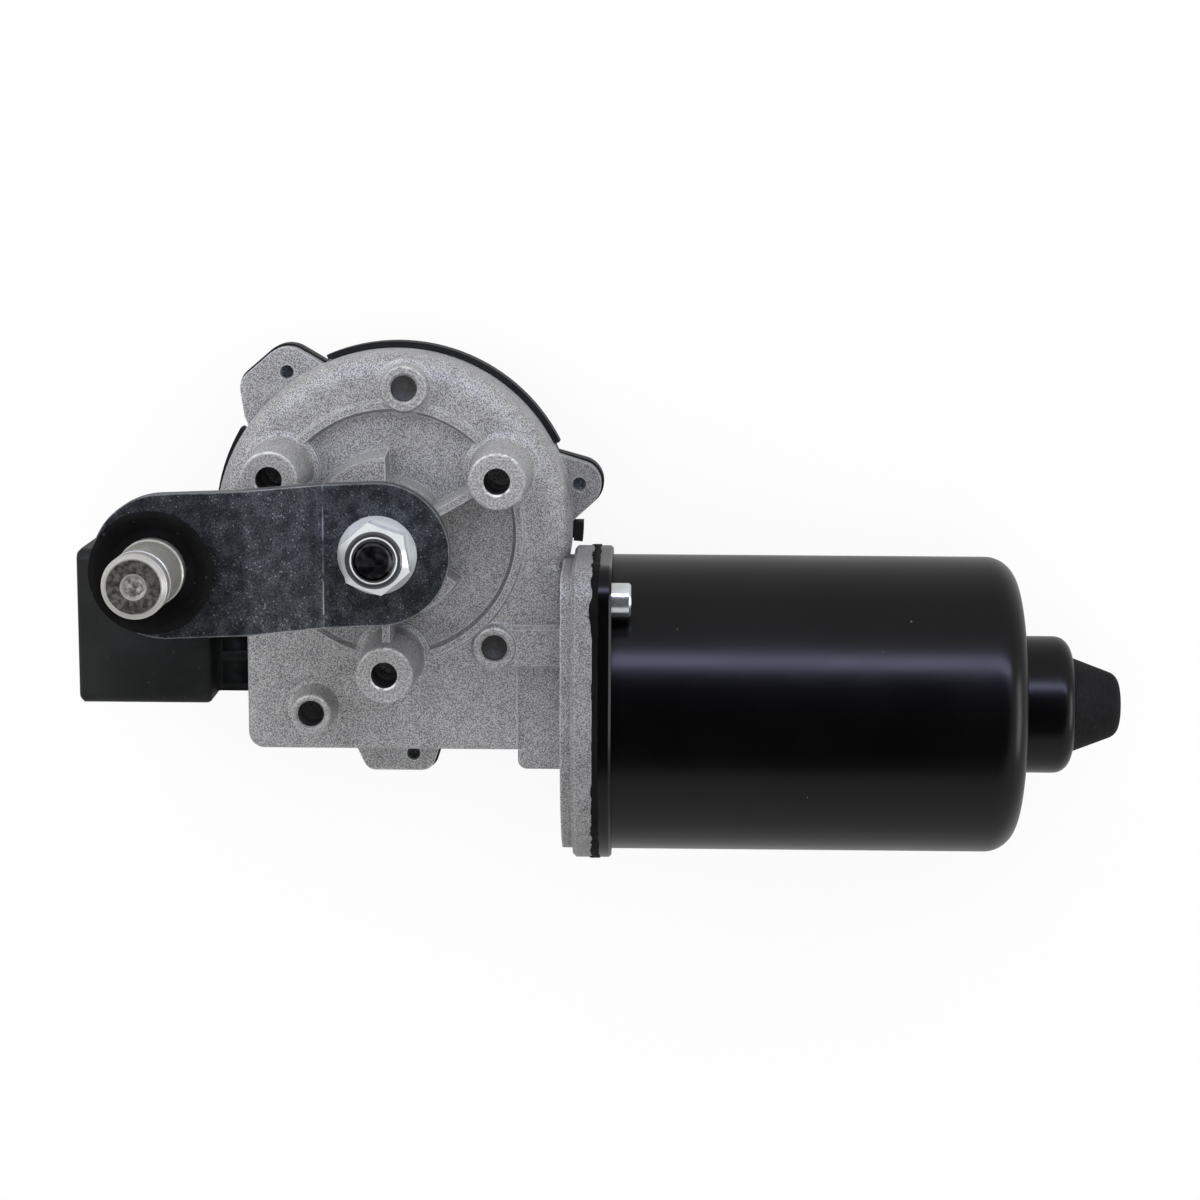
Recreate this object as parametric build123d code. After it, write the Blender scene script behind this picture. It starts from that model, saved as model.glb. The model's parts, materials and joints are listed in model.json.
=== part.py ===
from build123d import *
from math import atan, cos, degrees, pi, radians, sin, sqrt, tan
import os

# A rear or front screen wiper motor: a permanent-magnet motor in a drawn steel can, a worm drive in a
# die-cast gearbox, and a crank arm on the output shaft.
# Millimetres. The origin is on the output shaft, in the plane of the three mounting boss faces.
# +Z points out of the bosses, towards the crank. +X points along the motor, away from the gearbox.

# Worm drive
module = 1.1
wheel_teeth = 60
worm_pitch_radius = 4.6
addendum = 0.9
dedendum = 1.15
tooth_width_share = 0.43
pressure_angle = 20.0
wheel_face = 7.0
worm_length = 24.0
worm_root_reach = 4.0
wheel_radius = module * wheel_teeth / 2
worm_lead = pi * module
lead_angle = degrees(atan(worm_lead / (2 * pi * worm_pitch_radius)))
centre_distance = wheel_radius + worm_pitch_radius
worm_radius = worm_pitch_radius + addendum
worm_root_radius = worm_pitch_radius - dedendum

# Clearances
fit = 0.03
running = 0.05
axial_play = 0.2
wall_gap = 0.5

# Motor axis, parallel to X
motor_y = -centre_distance
motor_z = -28.0

# Levels of the gearbox along Z
boss_face = 0.0
front_level = -20.0
floor_drop = 1.5
joint_level = -40.0
front_wall = 2.2
floor_level = front_level - floor_drop
ceiling_level = floor_level - front_wall

# Gearbox plan
round_radius = 38.1
side_wall = 3.0
shoulder_blend = 5.0
ring_rib_radius = 27.2
ring_rib_width = 1.5
ring_rib_height = 0.8
body_left = -31.3
body_bottom = -47.1
block_left = 26.7
block_bottom = -51.5
block_drop = 1.0
body_corner = 3.5
edge_blend = 1.4
worm_wall_gap = 0.4
tunnel_radius = worm_radius + worm_wall_gap

# Mounting bosses
mount_circle = 54.0
mount_count = 3
mount_first_angle = 30.0
mount_face_radius = 5.9
mount_base_radius = 6.6
mount_hole_radius = 2.75
mount_hole_depth = 17.0
boss_flare = 1.5
hole_chamfer = 0.5
face_chamfer = 0.35

# Short bosses: centre, height over the front, face radius, hole depth
short_bosses = {
    "top": (2.9, 30.9, 3.0, 4.9, 4.5),
    "right": (21.8, -24.4, 2.2, 4.6, 3.7),
    "left": (-16.8, -37.8, 8.0, 4.3, 8.0),
}
short_hole_radius = 2.8
short_draft = 0.09
duct_half_width = 4.6
duct_height = 1.3

# Bearing tube and its ribs
tube_top_radius = 10.0
tube_base_radius = 12.0
tube_top = 3.0
rib_width = 1.6
rib_top = -5.0
sector_outer_radius = 17.0
sector_height = 10.0
sector_from = 92.0
sector_to = 327.0
sector_draft = 1.0

# Output shaft
shaft_radius = 5.0
bush_wall = 2.0
bush_length = 10.0
shaft_tail = 3.5
taper_end_radius = 4.4
thread_radius = 4.0
shaft_end = 21.0
retaining_groove_depth = 0.5
washer_thickness = 0.8
washer_radius = 8.6
ring_thickness = 1.1
ring_radius = 7.0

# Cover lugs and their screws
lug_thickness = 4.0
lug_1 = (-24.0, 32.7)
lug_2 = (39.4, 8.7)
lug_3 = (3.0, -51.4)
cover_lug_growth = 0.5
lug_radius = 5.4
cover_screw_radius = 1.5
cover_screw_head_radius = 2.8
cover_screw_head = 2.0
cover_screw_recess = 0.8

# Cover
seal_thickness = 0.8
seal_width = 2.2
cover_depth = 9.2
cover_right = 30.5
cover_wall = 2.2
cover_step = 1.0
cover_inset = 0.8
cover_rim = 3.0
cover_rib_width = 1.6
cover_rib_height = 1.2
skirt_gap = 0.25
skirt_wall = 1.1
skirt_from = 27.0
skirt_to = 113.0
left_skirt_wall = 1.6
left_skirt_from = 149.0
left_skirt_to = 190.0
right_skirt_wall = 2.0
right_skirt_from = -5.6
right_skirt_to = 0.5
skirt_level = -36.5
skirt_foot = 0.8

# Motor flange, gasket and can
can_radius = 31.9
flange_margin = 1.9
flange_half = can_radius + flange_margin
flange_start = 36.5
flange_step = 2.3
flange_inset = 2.0
flange_chamfer = 0.7
flange_end = 43.1
gasket_thickness = 1.2
gasket_swell = 0.25
can_flange_thickness = 2.7
can_wall = 1.8
can_end = 133.7
can_end_blend = 6.5
nose_radius = 14.8
nose_end = 145.7
nose_blend = 3.5
nose_root = 1.2
can_screw_inset = 7.2
can_screw_offset = flange_half - can_screw_inset
can_screw_radius = 2.0
can_screw_head_radius = 3.5
can_screw_head = 4.0
can_screw_end_gap = 1.0
can_screw_drive = 1.8
spigot_length = 3.0
spigot_wall = 2.5

# Rear cap
cap_base_radius = 10.4
cap_end_radius = 6.4
cap_length = 10.6
cap_end_blend = 3.0
cap_spigot = 1.6
cap_hole_radius = 8.0

# Armature
armature_shaft_radius = 4.0
end_journal_radius = 3.0
end_bush_length = 6.0
end_wall = 2.8
button_length = 1.6
front_bush_length = 9.0
front_bush_wall = 2.0
front_bush_start = flange_end - 1.0 - front_bush_length
rear_bush_length = 6.0
core_length = 46.0
slot_count = 12
air_gap = 0.7
magnet_thickness = 6.0
magnet_arc = 132.0
magnet_middles = (90.0, 270.0)
magnet_overhang = 5.0
tooth_tip = 2.2
tooth_width = 4.0
core_hub_radius = 9.5
winding_gap = 0.3
winding_length = 8.0
commutator_start = 51.0
commutator_length = 12.5
commutator_radius = 11.0
commutator_slit = 0.6
core_start = commutator_start + commutator_length + 0.7 + winding_gap + winding_length

# Brush gear
brush_plate_thickness = 2.0
brush_width = 5.0
brush_depth = 7.0
brush_length = 11.0
brush_angles = (0.0, 180.0, 235.0)
holder_wall = 0.8
spring_strip = 0.4
plate_hole_angles = (90.0, 300.0)
plate_hole_radius = 1.6
choke_angles = (130.0, 290.0)
choke_radius = 3.0
choke_length = 10.0
choke_rim = 0.8

# Connector
connector_left = -68.4
connector_right = -39.8
connector_top = -4.7
connector_bottom = -38.4
connector_back = -45.5
connector_front = -24.0
connector_wall = 1.8
connector_corner = 2.5
socket_depth = 17.0
neck_top = -13.5
neck_bottom = -37.0
neck_front = -32.8
neck_back = -44.0
neck_hole_reach = 6.0
neck_pocket = 1.4
terminal_count = 5
terminal_pitch = 5.2
terminal_width = 2.8
terminal_thickness = 0.8
terminal_reach = 11.0
carrier_thickness = 2.0
carrier_end = -3.0
contact_tracks = (20.0, 23.0, 26.0)
contact_disc_thickness = 0.4

# Crank
crank_radius = 44.0
crank_angle = 183.0
crank_width = 29.0
crank_end_setback = 2.0
crank_skew = -0.7
crank_thickness = 4.0
crank_hub_level = 8.0
crank_rise = 7.0
crank_bend_start = 11.0
crank_bend_end = 27.0
crank_bend_radius = 6.0
nut_flange_radius = 8.0
nut_flange_thickness = 1.6
nut_across_flats = 13.0
nut_height = 8.0
nut_crown_radius = 5.35
nut_countersink = 0.5
nut_turn = 40.0
pin_radius = 6.4
pin_height = 22.0
pin_shank_radius = 5.0
pin_collar_radius = 6.7
pin_rivet_radius = 6.6
pin_rivet = 1.6
pin_groove_from_end = 3.6
pin_groove_width = 1.3
pin_groove_depth = 0.9
pin_dimple_radius = 2.5
pin_dimple_depth = 1.4
seal_cup_radius = 12.4
seal_cup_taper = 2.6
seal_cup_base = 1.6
seal_cup_lip = 1.2
seal_cup_height = 4.2


def disc(radius, bottom, top, x=0.0, y=0.0):
    """A cylinder along Z."""
    return Pos(x, y, (bottom + top) / 2) * Cylinder(radius, top - bottom)


def rod(radius, start, end):
    """A cylinder along the motor axis."""
    return Pos((start + end) / 2, motor_y, motor_z) * Rot(0, 90, 0) * Cylinder(radius, end - start)


def ring(outer, inner, bottom, top, x=0.0, y=0.0):
    return disc(outer, bottom, top, x, y) - disc(inner, bottom - 1, top + 1, x, y)


def sleeve(outer, inner, start, end):
    """A tube along the motor axis."""
    return rod(outer, start, end) - rod(inner, start - 1, end + 1)


def block(x_from, x_to, y_from, y_to, z_from, z_to):
    centre = Pos((x_from + x_to) / 2, (y_from + y_to) / 2, (z_from + z_to) / 2)
    return centre * Box(x_to - x_from, y_to - y_from, z_to - z_from)


def slab(x_from, x_to, y_from, y_to, z_from, z_to, corner, blend):
    """A block with rounded corners in plan and a blended front edge."""
    outline = RectangleRounded(x_to - x_from, y_to - y_from, corner)
    plan = Pos((x_from + x_to) / 2, (y_from + y_to) / 2) * outline
    body = extrude(Plane.XY.offset(z_from) * plan, z_to - z_from)
    return fillet(body.edges().group_by(Axis.Z)[-1], blend)


def about_motor(profile):
    """Turns a profile, drawn as X along the motor and Y outwards, about the motor axis."""
    return Pos(0, motor_y, motor_z) * revolve(profile, Axis.X)


def on_circle(radius, angle):
    return radius * cos(radians(angle)), radius * sin(radians(angle))


def boss(x, y, root, base, top, base_radius, top_radius, flare):
    """A drafted round boss that flares in two steps where it leaves the surface at base."""
    bend = flare * (1 - sqrt(0.5))
    outline = Polyline(
        (0, root),
        (base_radius + flare, root),
        (base_radius + flare, base),
        (base_radius + bend, base + bend),
        (base_radius, base + flare),
        (top_radius, top - face_chamfer),
        (top_radius - face_chamfer, top),
        (0, top),
        close=True,
    )
    return Pos(x, y, 0) * revolve(make_face(Plane.XZ * outline), Axis.Z)


def drilled(x, y, top, radius, depth):
    """The cutter of a blind hole with a drill point."""
    point = Pos(x, y, top - depth - radius / 4) * Cone(radius / 6, radius, radius / 2)
    return disc(radius, top - depth, top + 1, x, y) + point


def countersink(x, y, top, radius):
    return Pos(x, y, top - hole_chamfer / 2) * Cone(radius, radius + hole_chamfer, hole_chamfer)


def sector(inner, outer, bottom, top, start, end):
    """An annular sector with square ends, from angle start to angle end."""
    profile = Plane.XZ * Pos((inner + outer) / 2, (bottom + top) / 2) * Rectangle(outer - inner, top - bottom)
    return Rot(0, 0, start) * revolve(profile, Axis.Z, end - start)


def lug_plan(growth=0.0):
    """The three cover lugs in plan, each blended into the gearbox."""
    wide = Pos(*lug_1) * Circle(lug_radius + growth) + Circle(22)
    wide += Pos(lug_1[0] - 6.2, lug_1[1] - 3.5) * Circle(4.0 + growth)
    wide += Pos(lug_1[0] - 7.6, lug_1[1] - 9.1) * Circle(1.8 + growth)
    round_lug = Pos(*lug_2) * Circle(lug_radius - 0.6 + growth) + Pos(24, 5) * Circle(13)
    low = Pos(lug_3[0] - 8.4, lug_3[1] - 1.0) * Circle(2.8 + growth)
    low += Pos(lug_3[0] + 1.8, lug_3[1] - 0.8) * Circle(3.0 + growth)
    low += Pos(lug_3[0] - 3.6, body_bottom + 1) * Rectangle(20.6 + growth, 2)
    return [make_hull(shape.edges()) for shape in (wide, round_lug, low)]


def gearbox_plan(growth=0.0):
    """The outline shared by the gearbox, its seal and its cover."""
    plan = Circle(round_radius + growth)
    body_x = (body_left + cover_right) / 2
    body = Rectangle(cover_right - body_left + 2 * growth, -body_bottom + growth)
    corner = body.vertices().sort_by(Axis.Y)[:2].sort_by(Axis.X)[0]
    plan += Pos(body_x, (body_bottom - growth) / 2) * fillet(corner, body_corner)
    limit = flange_start - wall_gap + growth
    flange_top = motor_y + flange_half + wall_gap
    square = Rectangle(round_radius, round_radius)
    plan -= Pos(limit + round_radius / 2, flange_top - round_radius / 2) * square
    return plan


def gearbox_rim():
    """The whole outline of the joint, with the short step beside the flange."""
    step = Pos((block_left + cover_right) / 2, (block_bottom + body_bottom + 1) / 2)
    return gearbox_plan() + step * Rectangle(cover_right - block_left, body_bottom + 1 - block_bottom)


def mount_places():
    for index in range(mount_count):
        angle = mount_first_angle + index * 360 / mount_count
        yield angle, *on_circle(mount_circle / 2, angle)


def gearbox_shell():
    """The round part turned in one profile, and the square part that covers the worm."""
    crest = front_level + ring_rib_height
    inner_foot = ring_rib_radius - ring_rib_width / 2 - 0.8
    outer_foot = ring_rib_radius + ring_rib_width / 2 + 0.5
    blend_start = round_radius - shoulder_blend
    blend_mid = (
        blend_start + shoulder_blend * sqrt(0.5),
        front_level - shoulder_blend * (1 - sqrt(0.5)),
    )
    outline = Polyline(
        (blend_start, front_level),
        (outer_foot, front_level),
        (ring_rib_radius + ring_rib_width / 2, crest),
        (ring_rib_radius - ring_rib_width / 2, crest),
        (inner_foot, floor_level),
        (0, floor_level),
        (0, joint_level),
        (round_radius, joint_level),
        (round_radius, front_level - shoulder_blend),
    )
    outline += ThreePointArc((round_radius, front_level - shoulder_blend), blend_mid, (blend_start, front_level))
    turned = revolve(make_face(Plane.XZ * outline), Axis.Z)
    square = slab(body_left, flange_start, body_bottom, -6, joint_level, front_level, body_corner, edge_blend)
    square -= block(block_left, flange_end, body_bottom - 1, -24, front_level - block_drop, front_level + 1)
    inside = disc(ring_rib_radius, joint_level, front_level + 1)
    corner = slab(block_left, flange_start + 2, block_bottom, -20, joint_level, front_level - block_drop, 2, 1)
    return turned + (square - inside) + (corner - inside)


def motor_plate(start, end, growth=0.0):
    """The round plate, with an ear for each screw, that the gearbox and the can meet on."""
    plate = Plane(origin=(start, motor_y, motor_z), x_dir=(0, 1, 0), z_dir=(1, 0, 0))
    outline = Circle(flange_half + growth)
    for side in (1, -1):
        outline += Pos(side * can_screw_offset, side * can_screw_offset) * Circle(can_screw_inset + growth)
    return extrude(plate * make_hull(outline.edges()), end - start)


def spigot_radius():
    """The collar of the gearbox that centres the can."""
    return can_radius - can_wall - fit


def gearbox_flange():
    plate = motor_plate(flange_start + flange_step, flange_end)
    plate = chamfer(plate.edges().group_by(Axis.X)[0], flange_chamfer)
    plate += motor_plate(flange_start, flange_start + flange_step + 0.5, -flange_inset)
    plate += rod(spigot_radius(), flange_end - 0.5, flange_end + spigot_length)
    return plate


def gussets():
    """Ribs that carry the lower half of the flange on the back of the gearbox."""
    ribs = []
    for offset in (-9.0, 0.0, 12.0):
        foot = cover_right + wall_gap
        outline = Polyline(
            (foot, joint_level + 2),
            (flange_start + 1, joint_level + 2),
            (flange_start + 1, motor_z - flange_half + 6),
            (flange_start - 0.5, motor_z - flange_half + 6),
            (foot, joint_level),
            close=True,
        )
        side = Plane.XZ.offset(-(motor_y + offset) - 1.0)
        ribs.append(extrude(make_face(side * outline), 2.0))
    return ribs


def bearing_tube():
    """The tube of the output bushes, the ribs that tie it to the bosses, and the raised sector beside it."""
    height = tube_top - floor_level + 1
    tube = Pos(0, 0, (tube_top + floor_level - 1) / 2) * Cone(tube_base_radius, tube_top_radius, height)
    tube = chamfer(tube.edges().group_by(Axis.Z)[-1], 0.6)
    outline = Polyline(
        (tube_top_radius - 1, floor_level - 1),
        (sector_outer_radius + sector_draft, floor_level - 1),
        (sector_outer_radius, floor_level + sector_height),
        (tube_top_radius - 1, floor_level + sector_height),
        close=True,
    )
    raised = revolve(make_face(Plane.XZ * outline), Axis.Z, sector_to - sector_from)
    tube += Rot(0, 0, sector_from) * raised
    for angle, _, _ in mount_places():
        span = mount_circle / 2 - mount_face_radius + 1.5
        rib = block(tube_top_radius - 1.5, span, -rib_width / 2, rib_width / 2, floor_level - 1, rib_top)
        tube += Rot(0, 0, angle) * rib
    return tube


def gearbox_cavity():
    """Everything that is hollow behind the front wall."""
    pocket_radius = round_radius - side_wall
    cavity = disc(pocket_radius, joint_level - 1, ceiling_level)
    cavity += rod(tunnel_radius, body_left + end_wall, flange_end + spigot_length + 1)
    cavity += block(
        body_left + side_wall,
        block_left - side_wall,
        body_bottom + side_wall,
        motor_y + 20,
        joint_level - 1,
        motor_z - tunnel_radius - 1.2,
    )
    cavity += rod(spigot_radius() - spigot_wall, flange_end - 1.0, flange_end + spigot_length + 1)
    cavity += rod(armature_shaft_radius + front_bush_wall + fit, front_bush_start, flange_end)
    return cavity + neck_hole()


def neck_hole():
    """The notch through both walls that the connector neck lies in."""
    return block(
        connector_right - 2,
        body_left + side_wall + neck_hole_reach,
        neck_bottom - fit,
        neck_top + fit,
        neck_back - fit,
        neck_front + fit,
    )


def make_gearbox_housing():
    housing = gearbox_shell() + gearbox_flange()
    for rib in gussets():
        housing += rib
    for plan in lug_plan():
        housing += extrude(Plane.XY.offset(joint_level) * plan, lug_thickness)
    housing += bearing_tube()
    for _, x, y in mount_places():
        housing += boss(
            x, y, floor_level - 1, front_level, boss_face, mount_base_radius, mount_face_radius, boss_flare
        )
    for x, y, height, face_radius, _ in short_bosses.values():
        top = front_level + height
        root_radius = face_radius + short_draft * height
        housing += boss(x, y, floor_level - 1, front_level, top, root_radius, face_radius, 0.9)
    x, y = short_bosses["right"][:2]
    duct = block(x, flange_start + 1, y - duct_half_width, y + duct_half_width, floor_level, front_level + duct_height)
    housing += chamfer(duct.edges().group_by(Axis.Z)[-1], duct_height * 0.6)
    housing -= gearbox_cavity()
    for _, x, y in mount_places():
        housing -= drilled(x, y, boss_face, mount_hole_radius, mount_hole_depth)
    for x, y, height, _, depth in short_bosses.values():
        housing -= drilled(x, y, front_level + height, short_hole_radius, depth)
        housing -= countersink(x, y, front_level + height, short_hole_radius)
    housing -= disc(shaft_radius + bush_wall + fit, ceiling_level - 1, tube_top + 1)
    for x, y in (lug_1, lug_2, lug_3):
        housing -= disc(cover_screw_radius + fit, joint_level - 1, joint_level + lug_thickness + 1, x, y)
    for y, z in can_screw_places():
        housing -= can_screw_hole(y, z)
    return housing


def can_screw_places():
    for side in (1, -1):
        yield motor_y + side * can_screw_offset, motor_z + side * can_screw_offset


def can_screw_hole(y, z):
    length = can_start() + can_flange_thickness - flange_start + 2
    middle = (can_start() + can_flange_thickness + flange_start) / 2
    return Pos(middle, y, z) * Rot(0, 90, 0) * Cylinder(can_screw_radius + fit, length)


def make_cover_seal():
    """A flat seal that follows the joint between the gearbox and its cover."""
    level = joint_level - seal_thickness
    outer = extrude(Plane.XY.offset(level) * gearbox_rim(), seal_thickness)
    inner = extrude(Plane.XY.offset(level - 1) * gearbox_plan(-seal_width), seal_thickness + 2)
    return outer - inner - neck_hole()


def cover_top():
    return joint_level - seal_thickness


def skirt(start, end, wall, top):
    """A lip that rises from the cover's rim round the outside of the gearbox."""
    inner = round_radius + skirt_gap
    foot = sector(round_radius - cover_wall, inner + wall, cover_top() - skirt_foot, cover_top(), start, end)
    return foot + sector(inner, inner + wall, cover_top() - skirt_foot, top, start, end)


def make_back_cover():
    """A moulded cover with a lip round the gearbox, screw lugs and stiffening ribs."""
    bottom = cover_top() - cover_depth
    shell = extrude(Plane.XY.offset(bottom + cover_step) * gearbox_plan(-cover_inset), cover_depth - cover_step)
    sole = extrude(Plane.XY.offset(bottom) * gearbox_plan(-2 * cover_inset), cover_step)
    rim = extrude(Plane.XY.offset(cover_top() - cover_rim) * gearbox_rim(), cover_rim)
    hollow_plan = gearbox_plan(-cover_inset - cover_wall)
    shell += sole + rim
    shell -= extrude(Plane.XY.offset(bottom + cover_wall) * hollow_plan, cover_depth)
    seal_room = extrude(Plane.XY.offset(cover_top()) * gearbox_plan(wall_gap / 2), seal_thickness + 1)
    for plan in lug_plan(cover_lug_growth):
        lug = extrude(Plane.XY.offset(cover_top() - lug_thickness) * plan, lug_thickness + seal_thickness)
        shell += lug - disc(round_radius - cover_wall, bottom, joint_level + 1) - seal_room
    shell += skirt(skirt_from, skirt_to, skirt_wall, skirt_level)
    shell += skirt(left_skirt_from, left_skirt_to, left_skirt_wall, skirt_level)
    shell += skirt(right_skirt_from, right_skirt_to, right_skirt_wall, skirt_level)
    for angle in range(0, 180, 30):
        rib = block(-round_radius + 6, round_radius - 6, -cover_rib_width / 2, cover_rib_width / 2,
                    bottom - cover_rib_height, bottom + 0.5)
        shell += Rot(0, 0, angle) * rib
    shell += ring(tube_base_radius, tube_base_radius - cover_rib_width, bottom - cover_rib_height, bottom + 0.5)
    shell += ring(round_radius - 5, round_radius - 5 - cover_rib_width, bottom - cover_rib_height, bottom + 0.5)
    for x, y in (lug_1, lug_2, lug_3):
        shell -= disc(cover_screw_radius + fit, bottom - 1, cover_top() + 1, x, y)
    shell -= neck_hole()
    return shell


def make_cover_screw(x, y):
    head_top = cover_top() - lug_thickness
    screw = disc(cover_screw_radius, head_top - 0.5, joint_level + lug_thickness - cover_screw_recess, x, y)
    head = disc(cover_screw_head_radius, head_top - cover_screw_head, head_top, x, y)
    head = chamfer(head.edges().group_by(Axis.Z)[0], 0.6)
    drive = Pos(x, y, head_top - cover_screw_head + 0.5) * extrude(RegularPolygon(1.5, 6), -2)
    return screw + head - drive


def connector_section(growth=0.0):
    """The connector body seen along the motor axis, from back to front."""
    height = connector_top - connector_bottom + 2 * growth
    depth = connector_front - connector_back + 2 * growth
    middle = ((connector_top + connector_bottom) / 2, (connector_front + connector_back) / 2)
    section = RectangleRounded(height, depth, connector_corner + growth)
    return Plane(origin=(connector_left, *middle), x_dir=(0, 1, 0), z_dir=(1, 0, 0)) * section


def terminal_places():
    middle = (connector_top + connector_bottom) / 2
    for index in range(terminal_count):
        yield middle + (index - (terminal_count - 1) / 2) * terminal_pitch


def connector_level():
    return (connector_front + connector_back) / 2


def make_connector_housing():
    """The moulded connector: a socket open away from the motor, a neck, and the contact carrier inside."""
    body = extrude(connector_section(), connector_right - connector_left)
    body = chamfer(body.edges().group_by(Axis.X)[0], 0.8)
    body -= extrude(connector_section(-connector_wall), socket_depth)
    neck = block(connector_right - 0.5, body_left + side_wall + 2, neck_bottom, neck_top, neck_back, neck_front)
    pocket_end = body_left - 1.5
    lower = neck_bottom
    for row in range(3):
        y = lower + 1.5 + row * 7.2
        cut = block(connector_right + 1.2, pocket_end, y, y + 5.2, neck_front - neck_pocket, neck_front + 1)
        neck -= cut
    body += neck
    body += block(
        body_left + side_wall + 1.5,
        carrier_end,
        neck_bottom + 1,
        neck_top - 1,
        carrier_top() - carrier_thickness,
        carrier_top(),
    )
    for y in terminal_places():
        slot = block(
            connector_left + socket_depth - 1,
            connector_right - 2 + fit,
            y - terminal_width / 2 - fit,
            y + terminal_width / 2 + fit,
            connector_level() - terminal_thickness / 2 - fit,
            connector_level() + terminal_thickness / 2 + fit,
        )
        body -= slot
    return body


def make_terminal(y):
    """A flat blade with a chamfered tip, anchored in the connector's inner wall."""
    start = connector_left + socket_depth - terminal_reach
    end = connector_right - 2
    blade = block(
        start,
        end,
        y - terminal_width / 2,
        y + terminal_width / 2,
        connector_level() - terminal_thickness / 2,
        connector_level() + terminal_thickness / 2,
    )
    tip = blade.edges().group_by(Axis.X)[0].filter_by(Axis.Y)
    return chamfer(tip, 0.25)


def carrier_top():
    return joint_level + carrier_thickness + 0.2


def make_motor_gasket():
    gasket = motor_plate(flange_end, flange_end + gasket_thickness, gasket_swell)
    gasket -= rod(spigot_radius() + 2 * fit, flange_end - 1, flange_end + gasket_thickness + 1)
    return drill_flange(gasket)


def drill_flange(plate):
    for y, z in can_screw_places():
        plate -= can_screw_hole(y, z)
    return plate


def can_start():
    return flange_end + gasket_thickness


def make_motor_can():
    """The drawn steel can: flange, barrel, blended end and bearing nose."""
    plate_end = can_start() + can_flange_thickness
    plate = motor_plate(can_start(), plate_end)
    plate = chamfer(plate.edges().group_by(Axis.X)[-1], 0.5)
    outer = make_face(
        Polyline(
            (can_start(), 0),
            (can_start(), can_radius),
            (can_end, can_radius),
            (can_end, nose_radius + nose_root),
            (can_end + nose_root, nose_radius),
            (nose_end, nose_radius),
            (nose_end, 0),
            close=True,
        )
    )
    rim = [v for v in outer.vertices() if abs(v.X - can_end) < 0.1 and v.Y > can_radius - 1]
    outer = fillet(rim, can_end_blend)
    outer = fillet([v for v in outer.vertices() if abs(v.X - nose_end) < 0.1 and v.Y > 1], nose_blend)
    shell = about_motor(outer)
    inner_end = can_end - can_wall
    hollow = rod(can_radius - can_wall, can_start() - 1, inner_end - can_end_blend + can_wall)
    hollow += rod(can_radius - can_end_blend, can_start(), inner_end)
    hollow += rod(nose_radius - can_wall, can_end - 4, nose_end - can_wall)
    hollow += rod(cap_hole_radius, nose_end - 5, nose_end + 1)
    return drill_flange(plate + shell - hollow)


def make_rear_cap():
    """The tapered cap that closes the bearing nose."""
    end = nose_end + cap_length
    outline = Polyline(
        (nose_end - cap_spigot, 0),
        (nose_end - cap_spigot, cap_hole_radius - fit),
        (nose_end, cap_hole_radius - fit),
        (nose_end, cap_base_radius),
        (end, cap_end_radius),
        (end, 0),
        close=True,
    )
    profile = make_face(outline)
    rim = [v for v in profile.vertices() if v.X > end - 0.1 and v.Y > 1]
    return about_motor(fillet(rim, cap_end_blend))


def make_can_screw(y, z):
    """A cylinder-head screw through the can flange into the gearbox flange."""
    seat = can_start() + can_flange_thickness
    tip = flange_start + can_screw_end_gap
    shank_length = seat - tip + can_screw_head / 4
    shank = Pos(tip + shank_length / 2, y, z) * Rot(0, 90, 0) * Cylinder(can_screw_radius, shank_length)
    head = Rot(0, 90, 0) * Cylinder(can_screw_head_radius, can_screw_head)
    head = Pos(seat + can_screw_head / 2, y, z) * head
    head = chamfer(head.edges().group_by(Axis.X)[-1], 0.4)
    drive = extrude(RegularPolygon(can_screw_drive, 6), -can_screw_head / 2)
    return shank + head - Pos(seat + can_screw_head, y, z) * Rot(0, 90, 0) * drive


def magnet_outer():
    return spigot_radius()


def core_radius():
    return magnet_outer() - magnet_thickness - air_gap


def motor_sector(inner, outer, start_x, end_x, start, sweep):
    """An annular sector about the motor axis. Angles run from +Y towards +Z."""
    profile = Pos((start_x + end_x) / 2, (inner + outer) / 2) * Rectangle(end_x - start_x, outer - inner)
    turned = revolve(profile, Axis.X, sweep)
    return Pos(0, motor_y, motor_z) * Rot(start, 0, 0) * turned


def make_magnet(middle):
    start = core_start - magnet_overhang
    end = core_start + core_length + magnet_overhang
    inner = magnet_outer() - magnet_thickness
    return motor_sector(inner, magnet_outer(), start, end, middle - magnet_arc / 2, magnet_arc)


def make_magnet_spring(middle):
    """A bent spring that wedges the magnets apart."""
    gap = 180 - magnet_arc
    start = core_start - magnet_overhang
    inner = magnet_outer() - magnet_thickness + 1
    leg = 1.4
    outer = magnet_outer()
    one = motor_sector(inner, outer, start, start + core_length, middle - gap / 2 + 0.3, leg)
    other = motor_sector(inner, outer, start, start + core_length, middle + gap / 2 - 0.3 - leg, leg)
    bridge = motor_sector(outer - 1.0, outer, start, start + 9, middle - gap / 2 + 0.3, gap - 0.6)
    return one + other + bridge


def make_armature_core():
    """The laminated core: a hub with teeth that widen to shoes at the air gap."""
    outer = core_radius()
    section = Circle(core_hub_radius)
    shoe_sweep = 360 / slot_count - 6
    for index in range(slot_count):
        angle = index * 360 / slot_count
        reach = outer - tooth_tip / 2
        section += Rot(0, 0, angle) * Pos(reach / 2, 0) * Rectangle(reach, tooth_width)
    band = Circle(outer) - Circle(outer - tooth_tip)
    for index in range(slot_count):
        angle = (index + 0.5) * 360 / slot_count
        opening = 2 * outer * sin(radians((360 / slot_count - shoe_sweep) / 2))
        band -= Rot(0, 0, angle) * Pos(outer, 0) * Rectangle(4 * tooth_tip, opening)
    section += band
    section -= Circle(armature_shaft_radius + fit)
    plane = Plane(origin=(core_start, motor_y, motor_z), x_dir=(0, 1, 0), z_dir=(1, 0, 0))
    return extrude(plane * section, core_length)


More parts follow.
